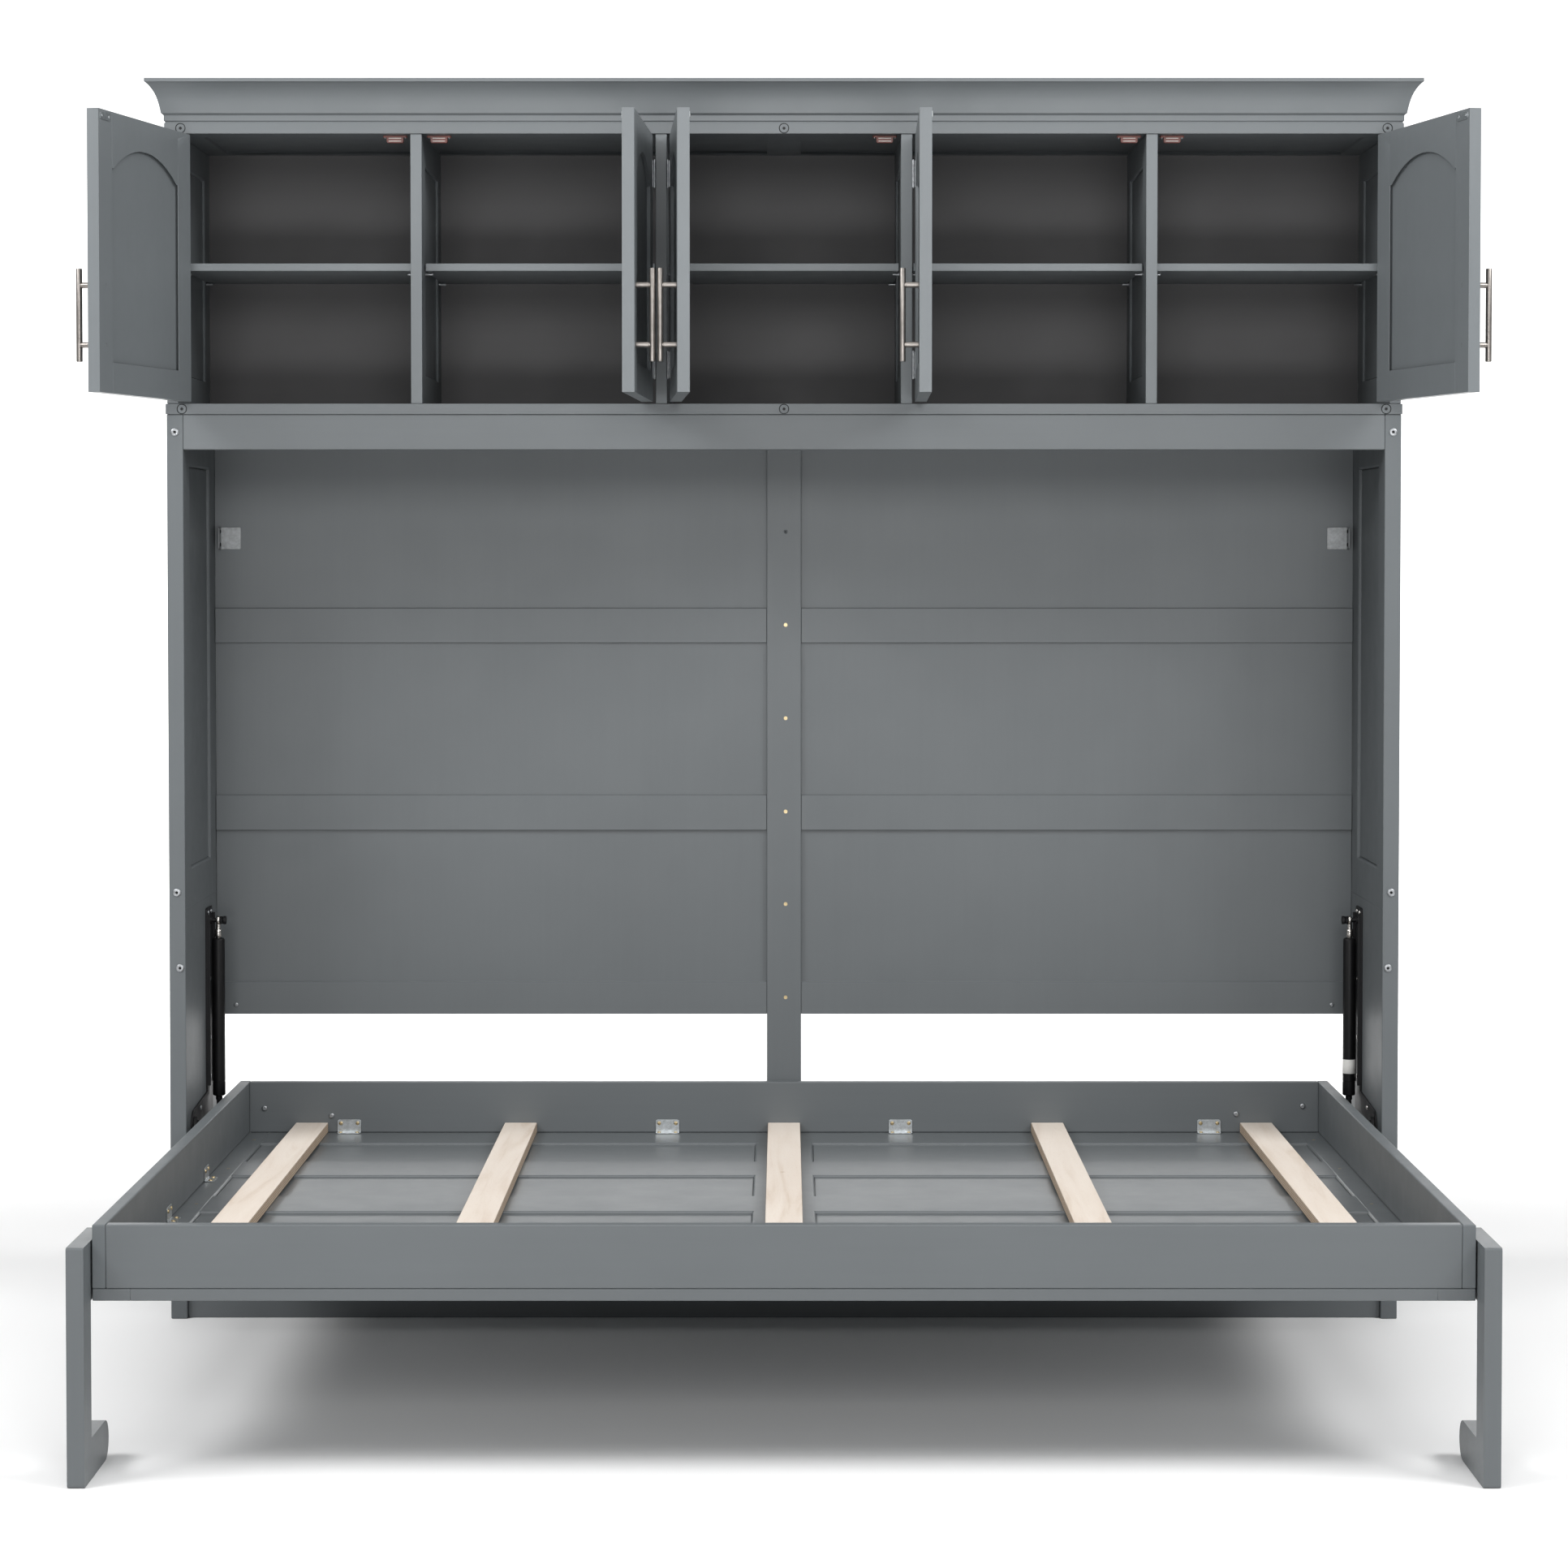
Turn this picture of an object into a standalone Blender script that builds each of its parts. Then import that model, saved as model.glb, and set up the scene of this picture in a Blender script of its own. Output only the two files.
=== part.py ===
"""Side-tilting full-size wall bed with a five-door hutch.

Metres, +Z up, +X to the right when facing the front, +Y towards the wall.
All sizes below are measured from the cabinet's front plane (y = 0), the centre
line (x = 0) and the floor (z = 0).  Everything hangs on one empty, shifted in Y
so that the origin is the middle of the footprint.
"""

import math

import bmesh
import bpy
from mathutils import Matrix, Vector

# ---------------------------------------------------------------- dimensions
GAP = 0.0003            # clearance between touching pieces

# lower cabinet
CAB_HALF = 1.056        # outer half width
SIDE_T = 0.028          # side panel thickness
IN_HALF = CAB_HALF - SIDE_T
CAB_BACK = 0.358        # outer depth
FLOOR_Z0 = 1.556        # hutch floor panel, underside
FLOOR_T = 0.018
HEADER_Z0 = 1.4955
HEADER_T = 0.020
BASE_RAIL_H = 0.050
BASE_RAIL_Y = (0.010, 0.030)
BACK_FACE = 0.346       # front face of the lower back panel
BACK_RAISE = 0.006      # battens stand this proud of it
BACK_Z0 = 0.484
BATTENS = ((0.484, 0.543), (0.818, 0.881), (1.157, 1.219))
STILE_HALF = 0.031
STILE_FACE = 0.338

# side panel recess
SIDE_REC_Y = (0.066, 0.285)
SIDE_REC_Z = (0.772, 1.470)
SIDE_REC_D = 0.005

# hutch
HUTCH_Z0 = FLOOR_Z0 + FLOOR_T
HUTCH_Z1 = 2.034
TOP_T = 0.018
HUTCH_HALF = 1.055
HUTCH_IN = 1.0355
BOARD_HALF = 1.0575     # top and floor boards stand a little proud
DIV_T = 0.0195
DIV_X = (-0.628, -0.2095, 0.2095, 0.628)
HUTCH_BACK_FACE = 0.350
HUTCH_BACK_T = 0.006
SHELF_Z = (1.803, 1.816)
SHELF_Y = (0.036, 0.346)
SHELF_SIDE_GAP = 0.0025
DIV_REC_Y = (0.060, 0.296)
DIV_REC_Z = (1.624, 1.984)
DIV_REC_D = 0.004

# crown moulding: (projection beyond the top board, height above its top face)
CROWN_H = 0.073
CROWN_PROJ = 0.029
CROWN_WALL = 0.018
COVE_Z = (0.0185, 0.0660)
COVE_FOOT = 0.0050
COVE_STEPS = 9

# doors
DOOR_W = 0.3925
DOOR_T = 0.020
DOOR_Z = (1.577, 2.031)
AXIS_SIDE = 0.0015      # hinge axis to jamb, and to the door's edge
AXIS_FRONT = 0.003      # hinge axis in front of the door's face
DOOR_STILE = 0.055
DOOR_RAIL = 0.050
DOOR_SPRING = 1.940     # height where the arch springs
DOOR_RISE = 0.040
DOOR_SHOULDER = 0.006
DOOR_REC_D = 0.0055
DOOR_REC_CH = 0.003
DOOR_OPEN = (102.5, 87.7, 86.45, 91.0, 102.5)

# bar pulls
PULL_R = 0.005
PULL_LEN = 0.150
PULL_CC = 0.096
PULL_POST_R = 0.0046
PULL_OFF = 0.0265       # bar axis in front of the door's face
PULL_EDGE = 0.028       # bar axis to the door's free edge
PULL_Z = 1.702

# butt hinges
HINGE_R = 0.0026
HINGE_H = 0.046
HINGE_Z = (1.640, 1.9655)
HINGE_LEAF_D = 0.015
HINGE_LEAF = (0.0002, 0.0012)

# bed
BED_HALF = 0.984
BED_FRONT = -1.099
BED_BACK = 0.331
RAIL_T = 0.019
RAIL_Z = (0.273, 0.3645)
BASE_Z = (0.2555, 0.2727)
BASE_REC_X = (0.048, 0.930)
BASE_REC_Y0 = 0.197
BASE_REC_LEN = 0.200
BASE_REC_PITCH = 0.3385
BASE_REC_ROWS = 4
BASE_REC_D = 0.004
SLAT_X = (-0.852, -0.475, 0.0, 0.475, 0.852)
SLAT_W = 0.058
SLAT_Z = (0.273, 0.291)

# bed pivot, on both cabinet sides
PIVOT_Z = 0.325
PIVOT_Y = PIVOT_Z - BASE_Z[0]   # the closed bed's face is flush with y = 0

# legs
LEG_X = (0.9865, 1.0115)
LEG_FRONT = -1.1515
LEG_BACK = -0.965
LEG_POST = 0.055
LEG_TOP = 0.341
LEG_ARM_H = 0.085
LEG_FOOT_H = 0.059
LEG_PIVOT = (-1.040, 0.300)

# gas strut mechanism
PLATE_X = (1.0247, 1.0277)
PLATE_Y = (0.215, 0.275)
PLATE_Z = (0.280, 0.688)
PLATE_ARM_Z = (0.292, 0.358)
PLATE_ARM_Y0 = 0.042
STRUT_X = 1.0095
STRUT_Y = 0.247
STRUT_TOP = 0.664
STRUT_BOT = 0.320
CYL_R = 0.01125
CYL_Z = (0.350, 0.632)
BORE_R = 0.0064
BORE_BOT = 0.400
ROD_R = 0.0048
ROD_BOT = 0.408
ARM_X = (0.9843, 0.9883)
PIN_R = 0.008
PIN_HOLE_R = 0.0096

Y_SHIFT = -(LEG_FRONT + CAB_BACK) / 2.0

# ------------------------------------------------------------------- helpers
for ob in list(bpy.data.objects):
    bpy.data.objects.remove(ob, do_unlink=True)

scene = bpy.context.scene


def material(name, color, rough, metal=0.0):
    m = bpy.data.materials.new(name)
    m.use_nodes = True
    b = m.node_tree.nodes["Principled BSDF"]
    b.inputs["Base Color"].default_value = (*color, 1.0)
    b.inputs["Roughness"].default_value = rough
    b.inputs["Metallic"].default_value = metal
    m.diffuse_color = (*color, 1.0)
    return m


PAINT = material("painted_wood", (0.190, 0.208, 0.214), 0.42)
BIRCH = material("birch_plywood", (0.72, 0.58, 0.44), 0.6)
BLACK = material("black_steel", (0.012, 0.012, 0.013), 0.4)
NICKEL = material("brushed_nickel", (0.60, 0.56, 0.51), 0.32, 1.0)
ZINC = material("zinc_steel", (0.62, 0.63, 0.64), 0.35, 1.0)
CHROME = material("rod_chrome", (0.72, 0.71, 0.68), 0.2, 1.0)


def empty(name, loc, parent=None, rot_z=0.0):
    e = bpy.data.objects.new(name, None)
    e.empty_display_size = 0.05
    scene.collection.objects.link(e)
    e.location = loc
    e.rotation_euler = (0.0, 0.0, rot_z)
    e.parent = parent
    return e


ROOT = empty("footprint_centre", (0.0, Y_SHIFT, 0.0))


def add(name, bm, mat, origin=(0.0, 0.0, 0.0), parent=None):
    """Make an object from a bmesh given in cabinet coordinates, with its origin at `origin`."""
    bmesh.ops.recalc_face_normals(bm, faces=bm.faces)
    me = bpy.data.meshes.new(name)
    bm.transform(Matrix.Translation(-Vector(origin)))
    bm.to_mesh(me)
    bm.free()
    me.materials.append(mat)
    ob = bpy.data.objects.new(name, me)
    scene.collection.objects.link(ob)
    ob.location = origin
    ob.parent = parent or ROOT
    return ob


def new_box(x0, x1, y0, y1, z0, z1, bm=None):
    bm = bm or bmesh.new()
    x0, x1 = min(x0, x1), max(x0, x1)
    vs = [bm.verts.new((x, y, z)) for x in (x0, x1) for y in (y0, y1) for z in (z0, z1)]
    for f in ((0, 1, 3, 2), (4, 6, 7, 5), (0, 4, 5, 1), (2, 3, 7, 6), (0, 2, 6, 4), (1, 5, 7, 3)):
        bm.faces.new([vs[i] for i in f])
    return bm


def loft(loops, bm=None):
    """Closed solid through matching loops of points, with an n-gon at each end."""
    bm = bm or bmesh.new()
    rings = [[bm.verts.new(p) for p in loop] for loop in loops]
    n = len(rings[0])
    for a, b in zip(rings, rings[1:]):
        for i in range(n):
            j = (i + 1) % n
            bm.faces.new((a[i], a[j], b[j], b[i]))
    bm.faces.new(rings[0])
    bm.faces.new(list(reversed(rings[-1])))
    return bm


def prism_x(outline, x0, x1, bm=None):
    """Outline of (y, z) points extruded along X."""
    return loft([[(x0, y, z) for y, z in outline], [(x1, y, z) for y, z in outline]], bm)


def turned(profile, centre, axis, segs, bm=None):
    """Solid of revolution: (distance along the axis, radius) points from end to end, radius 0 at both ends."""
    bm = bm or bmesh.new()
    rings = []
    for s, r in profile:
        ring = []
        if r <= 0.0:
            ring = [None]
        pts = []
        for k in range(1 if r <= 0.0 else segs):
            a = 2.0 * math.pi * (k + 0.5) / segs
            c, d = r * math.cos(a), r * math.sin(a)
            if axis == "X":
                p = (centre[0] + s, centre[1] + c, centre[2] + d)
            elif axis == "Y":
                p = (centre[0] + c, centre[1] + s, centre[2] + d)
            else:
                p = (centre[0] + c, centre[1] + d, centre[2] + s)
            pts.append(bm.verts.new(p))
        rings.append(pts)
    for a, b in zip(rings, rings[1:]):
        if len(a) == 1:
            for i in range(segs):
                bm.faces.new((a[0], b[i], b[(i + 1) % segs]))
        elif len(b) == 1:
            for i in range(segs):
                bm.faces.new((a[(i + 1) % segs], a[i], b[0]))
        else:
            for i in range(segs):
                j = (i + 1) % segs
                bm.faces.new((a[i], a[j], b[j], b[i]))
    return bm


def rod(centre, axis, s0, s1, r, segs=12, bm=None):
    """Plain round bar with flat n-gon ends."""
    bm = bm or bmesh.new()
    loops = []
    for s in (s0, s1):
        loop = []
        for k in range(segs):
            a = 2.0 * math.pi * (k + 0.5) / segs
            c, d = r * math.cos(a), r * math.sin(a)
            if axis == "X":
                loop.append((centre[0] + s, centre[1] + c, centre[2] + d))
            elif axis == "Y":
                loop.append((centre[0] + c, centre[1] + s, centre[2] + d))
            else:
                loop.append((centre[0] + c, centre[1] + d, centre[2] + s))
        loops.append(loop)
    return loft(loops, bm)


def boolean(ob, bm, operation):
    """Cut or join a bmesh, given in cabinet coordinates, into an unrotated object, and apply it."""
    bmesh.ops.recalc_face_normals(bm, faces=bm.faces)
    bm.transform(Matrix.Translation(-ob.location))
    me = bpy.data.meshes.new("tool")
    bm.to_mesh(me)
    bm.free()
    tool = bpy.data.objects.new("tool", me)
    scene.collection.objects.link(tool)
    tool.location = ob.location
    tool.parent = ob.parent
    mod = ob.modifiers.new("cut", "BOOLEAN")
    mod.operation = operation
    mod.solver = "EXACT"
    mod.object = tool
    bpy.context.view_layer.update()
    graph = bpy.context.evaluated_depsgraph_get()
    done = bpy.data.meshes.new_from_object(ob.evaluated_get(graph))
    ob.modifiers.clear()
    old = ob.data
    ob.data = done
    bpy.data.meshes.remove(old)
    bpy.data.objects.remove(tool, do_unlink=True)
    bpy.data.meshes.remove(me)
    done.name = ob.name
    return ob


def recess_loops(outline, face, depth, chamfer, direction, plane):
    """Loops of a tapered recess cutter. outline(d) gives the boundary moved inwards by d.
    face is where the surface lies, direction (+1 or -1) points into the material."""
    loops = []
    for d, s in ((0.0, -0.004), (0.0, 0.0), (chamfer, depth)):
        w = face + direction * s
        loops.append([(w, a, b) if plane == "X" else (a, w, b) if plane == "Y" else (a, b, w) for a, b in outline(d)])
    return loops


def rect(a0, a1, b0, b1):
    return lambda d: [(a0 + d, b0 + d), (a1 - d, b0 + d), (a1 - d, b1 - d), (a0 + d, b1 - d)]


def arch(a0, a1, b0, spring, rise, shoulder, steps=12):
    """Rectangle whose top is an arc, with a small shoulder where the arc springs."""
    c = (a1 - a0) / 2.0 - shoulder
    radius = (c * c + rise * rise) / (2.0 * rise)
    mid, low = (a0 + a1) / 2.0, spring + rise - radius

    def outline(d):
        r, z = radius - d, spring - d
        half = math.sqrt(r * r - (z - low) ** 2)
        top = math.atan2(z - low, half)
        pts = [(a0 + d, b0 + d), (a1 - d, b0 + d), (a1 - d, z)]
        for k in range(steps + 1):
            t = top + (math.pi - 2.0 * top) * k / steps
            pts.append((mid + r * math.cos(t), low + r * math.sin(t)))
        pts.append((a0 + d, z))
        return pts

    return outline


# ------------------------------------------------------------- lower cabinet
for side, sx in (("left", -1), ("right", 1)):
    ob = add(f"side_panel_{side}", new_box(sx * IN_HALF, sx * CAB_HALF, 0.0, CAB_BACK, 0.0, FLOOR_Z0 - GAP), PAINT)
    cut = bmesh.new()
    outline = rect(*SIDE_REC_Y, *SIDE_REC_Z)
    loft(recess_loops(outline, sx * IN_HALF, SIDE_REC_D, 0.003, sx, "X"), cut)
    loft(recess_loops(outline, sx * CAB_HALF, SIDE_REC_D, 0.003, -sx, "X"), cut)
    boolean(ob, cut, "DIFFERENCE")

add("header_rail", new_box(-IN_HALF + GAP, IN_HALF - GAP, 0.0, HEADER_T, HEADER_Z0, FLOOR_Z0 - GAP), PAINT)
add("base_rail", new_box(-IN_HALF + GAP, IN_HALF - GAP, *BASE_RAIL_Y, 0.0, BASE_RAIL_H), PAINT)
add("centre_back_stile", new_box(-STILE_HALF, STILE_HALF, STILE_FACE, BACK_FACE - GAP, 0.0, FLOOR_Z0 - GAP), PAINT)

back = add("lower_back_panel", new_box(-IN_HALF + GAP, IN_HALF - GAP, BACK_FACE, CAB_BACK, BACK_Z0, FLOOR_Z0 - GAP), PAINT)
strips = bmesh.new()
for z0, z1 in BATTENS:
    for sx in (-1, 1):
        new_box(sx * (STILE_HALF + GAP), sx * (IN_HALF - 0.001), BACK_FACE - BACK_RAISE, BACK_FACE + 0.002, z0, z1, strips)
boolean(back, strips, "UNION")

# --------------------------------------------------------------------- hutch
add("hutch_floor_panel", new_box(-BOARD_HALF, BOARD_HALF, -0.002, CAB_BACK, FLOOR_Z0, HUTCH_Z0), PAINT)
for side, sx in (("left", -1), ("right", 1)):
    ob = add(f"hutch_side_{side}", new_box(sx * HUTCH_IN, sx * HUTCH_HALF, 0.0, CAB_BACK, HUTCH_Z0 + GAP, HUTCH_Z1 - GAP), PAINT)
    cut = bmesh.new()
    outline = rect(*DIV_REC_Y, *DIV_REC_Z)
    loft(recess_loops(outline, sx * HUTCH_IN, DIV_REC_D, 0.0025, sx, "X"), cut)
    loft(recess_loops(outline, sx * HUTCH_HALF, DIV_REC_D, 0.0025, -sx, "X"), cut)
    boolean(ob, cut, "DIFFERENCE")
for i, x in enumerate(DIV_X, 1):
    ob = add(f"hutch_divider_{i}", new_box(x - DIV_T / 2, x + DIV_T / 2, 0.0, HUTCH_BACK_FACE - GAP, HUTCH_Z0 + GAP, HUTCH_Z1 - GAP), PAINT)
    cut = bmesh.new()
    outline = rect(*DIV_REC_Y, *DIV_REC_Z)
    loft(recess_loops(outline, x - DIV_T / 2, DIV_REC_D, 0.0025, 1, "X"), cut)
    loft(recess_loops(outline, x + DIV_T / 2, DIV_REC_D, 0.0025, -1, "X"), cut)
    boolean(ob, cut, "DIFFERENCE")
add("hutch_back_panel", new_box(-HUTCH_IN + GAP, HUTCH_IN - GAP, HUTCH_BACK_FACE, HUTCH_BACK_FACE + HUTCH_BACK_T,
                                HUTCH_Z0 + GAP, HUTCH_Z1 - GAP), PAINT)

edges = [-HUTCH_IN] + [e for x in DIV_X for e in (x - DIV_T / 2, x + DIV_T / 2)] + [HUTCH_IN]
BAYS = [(edges[2 * i], edges[2 * i + 1]) for i in range(5)]
for i, (x0, x1) in enumerate(BAYS, 1):
    add(f"shelf_{i}", new_box(x0 + SHELF_SIDE_GAP, x1 - SHELF_SIDE_GAP, *SHELF_Y, *SHELF_Z), PAINT)

# top board with the crown moulding glued round its front and ends
top = add("hutch_top_with_crown", new_box(-BOARD_HALF, BOARD_HALF, -0.002, CAB_BACK, HUTCH_Z1, HUTCH_Z1 + TOP_T), PAINT)
z0 = HUTCH_Z1 + TOP_T
profile = [(-CROWN_WALL, -0.002), (-0.0015, -0.002), (-0.0015, 0.0025), (0.0006, 0.0035), (0.0006, 0.0130), (0.0046, 0.0160)]
for k in range(COVE_STEPS + 1):
    u = k / COVE_STEPS                     # the cove steepens towards its foot and flares at the lip
    profile.append((COVE_FOOT + 0.009 * u + 0.004 * u ** 2 + 0.009 * u ** 4, COVE_Z[0] + (COVE_Z[1] - COVE_Z[0]) * u))
profile += [(CROWN_PROJ, COVE_Z[1] + 0.0008), (CROWN_PROJ, CROWN_H), (-CROWN_WALL, CROWN_H)]
path = lambda p, z: [(-(BOARD_HALF + p), CAB_BACK, z0 + z), (-(BOARD_HALF + p), -0.002 - p, z0 + z),
                     (BOARD_HALF + p, -0.002 - p, z0 + z), (BOARD_HALF + p, CAB_BACK, z0 + z)]
stations = [path(p, z) for p, z in profile]
boolean(top, loft([[s[k] for s in stations] for k in range(4)]), "UNION")

# --------------------------------------------------------------------- doors
HINGED_LEFT = (True, False, True, True, False)
for i, ((x0, x1), left, angle) in enumerate(zip(BAYS, HINGED_LEFT, DOOR_OPEN), 1):
    s = 1 if left else -1                      # +1: the door grows towards +X from its hinge axis
    axis_x = x0 + AXIS_SIDE if left else x1 - AXIS_SIDE
    pivot = empty(f"door_{i}_axis", (axis_x, -AXIS_FRONT, 0.0), ROOT, math.radians(-s * angle))
    local = lambda d: s * d

    def door_box(a0, a1, y0, y1, z0_, z1_, bm=None):
        return new_box(local(a0), local(a1), y0, y1, z0_, z1_, bm)

    y_face = AXIS_FRONT
    ob = add(f"door_{i}", door_box(AXIS_SIDE, AXIS_SIDE + DOOR_W, y_face, y_face + DOOR_T, *DOOR_Z), PAINT, parent=pivot)
    a0, a1 = AXIS_SIDE + DOOR_STILE, AXIS_SIDE + DOOR_W - DOOR_STILE
    outline = arch(min(local(a0), local(a1)), max(local(a0), local(a1)), DOOR_Z[0] + DOOR_RAIL, DOOR_SPRING, DOOR_RISE, DOOR_SHOULDER)
    cut = bmesh.new()
    loft(recess_loops(outline, y_face, DOOR_REC_D, DOOR_REC_CH, 1, "Y"), cut)
    loft(recess_loops(outline, y_face + DOOR_T, DOOR_REC_D, DOOR_REC_CH, -1, "Y"), cut)
    boolean(ob, cut, "DIFFERENCE")

    px = local(AXIS_SIDE + DOOR_W - PULL_EDGE)
    c = (px, y_face - PULL_OFF, PULL_Z)
    pull = add(f"door_pull_{i}", turned([(-PULL_LEN / 2, 0.0), (-PULL_LEN / 2, PULL_R - 0.0006), (-PULL_LEN / 2 + 0.0006, PULL_R),
                                         (PULL_LEN / 2 - 0.0006, PULL_R), (PULL_LEN / 2, PULL_R - 0.0006), (PULL_LEN / 2, 0.0)],
                                        c, "Z", 12), NICKEL, parent=pivot)
    posts = bmesh.new()
    for dz in (-PULL_CC / 2, PULL_CC / 2):
        rod((px, c[1], PULL_Z + dz), "Y", 0.0, PULL_OFF - GAP, PULL_POST_R, 12, posts)
    boolean(pull, posts, "UNION")

    for k, hz in zip(("lower", "upper"), HINGE_Z):
        barrel = add(f"door_{i}_hinge_{k}", rod((0.0, 0.0, hz), "Z", -HINGE_H / 2, HINGE_H / 2, HINGE_R, 10), ZINC, parent=pivot)
        leaf = new_box(local(HINGE_LEAF[0]), local(HINGE_LEAF[1]), 0.0, AXIS_FRONT + HINGE_LEAF_D, hz - HINGE_H / 2 + 0.0005, hz + HINGE_H / 2 - 0.0005)
        boolean(barrel, leaf, "UNION")

# ----------------------------------------------------------------------- bed
bed = empty("bed_pivot", (0.0, PIVOT_Y, PIVOT_Z), ROOT)
PIV = (0.0, PIVOT_Y, PIVOT_Z)


def bed_piece(name, bm, mat):
    ob = add(name, bm, mat, origin=PIV)
    ob.parent = bed
    ob.location = (0.0, 0.0, 0.0)
    return ob


side_in = BED_HALF - RAIL_T
bed_piece("bed_rail_left", new_box(-BED_HALF, -side_in, BED_FRONT, BED_BACK, *RAIL_Z), PAINT)
bed_piece("bed_rail_right", new_box(side_in, BED_HALF, BED_FRONT, BED_BACK, *RAIL_Z), PAINT)
bed_piece("bed_rail_front", new_box(-side_in + GAP, side_in - GAP, BED_FRONT, BED_FRONT + RAIL_T, *RAIL_Z), PAINT)
bed_piece("bed_rail_back", new_box(-side_in + GAP, side_in - GAP, BED_BACK - RAIL_T, BED_BACK, *RAIL_Z), PAINT)
for i, x in enumerate(SLAT_X, 1):
    bed_piece(f"slat_{i}", new_box(x - SLAT_W / 2, x + SLAT_W / 2, BED_FRONT + RAIL_T + 0.001, BED_BACK - RAIL_T - 0.001, *SLAT_Z), BIRCH)

base = add("bed_base_panel", new_box(-BED_HALF, BED_HALF, BED_FRONT, BED_BACK, *BASE_Z), PAINT)
cut = bmesh.new()
for r in range(BASE_REC_ROWS):
    y1 = BASE_REC_Y0 - r * BASE_REC_PITCH
    for sx in (-1, 1):
        xa, xb = sorted((sx * BASE_REC_X[0], sx * BASE_REC_X[1]))
        outline = rect(xa, xb, y1 - BASE_REC_LEN, y1)
        loft(recess_loops(outline, BASE_Z[1], BASE_REC_D, 0.003, -1, "Z"), cut)
        loft(recess_loops(outline, BASE_Z[0], BASE_REC_D, 0.003, 1, "Z"), cut)
boolean(base, cut, "DIFFERENCE")
base.data.transform(Matrix.Translation(-Vector(PIV)))
base.parent = bed

# ---------------------------------------------------------------------- legs


def arc(cy, cz, r, a0, a1, n):
    return [(cy + r * math.cos(math.radians(a0 + (a1 - a0) * k / n)), cz + r * math.sin(math.radians(a0 + (a1 - a0) * k / n))) for k in range(n + 1)]


rf, rc, rs = LEG_FOOT_H / 2 - 0.001, 0.028, 0.004
post_back = LEG_FRONT + LEG_POST
leg_outline = (
    arc(LEG_FRONT + rs, rs, rs, 180, 270, 2)
    + arc(LEG_BACK - rf, rf, rf, 270, 360, 6)
    + arc(LEG_BACK - rf, LEG_FOOT_H - rf, rf, 0, 90, 6)
    + [(post_back, LEG_FOOT_H)]
    + [(post_back, LEG_TOP - LEG_ARM_H)]
    + arc(LEG_BACK - rc, LEG_TOP - LEG_ARM_H + rc, rc, 270, 360, 5)
    + arc(LEG_BACK - rc, LEG_TOP - rc, rc, 0, 90, 5)
    + arc(LEG_FRONT + rs, LEG_TOP - rs, rs, 90, 180, 2)
)
for side, sx in (("left", -1), ("right", 1)):
    axis = empty(f"leg_{side}_axis", (0.0, LEG_PIVOT[0] - PIVOT_Y, LEG_PIVOT[1] - PIVOT_Z), bed)
    leg = add(f"leg_{side}", prism_x(leg_outline, sx * LEG_X[0], sx * LEG_X[1]), PAINT, origin=(0.0, LEG_PIVOT[0], LEG_PIVOT[1]))
    leg.parent = axis
    leg.location = (0.0, 0.0, 0.0)

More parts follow.
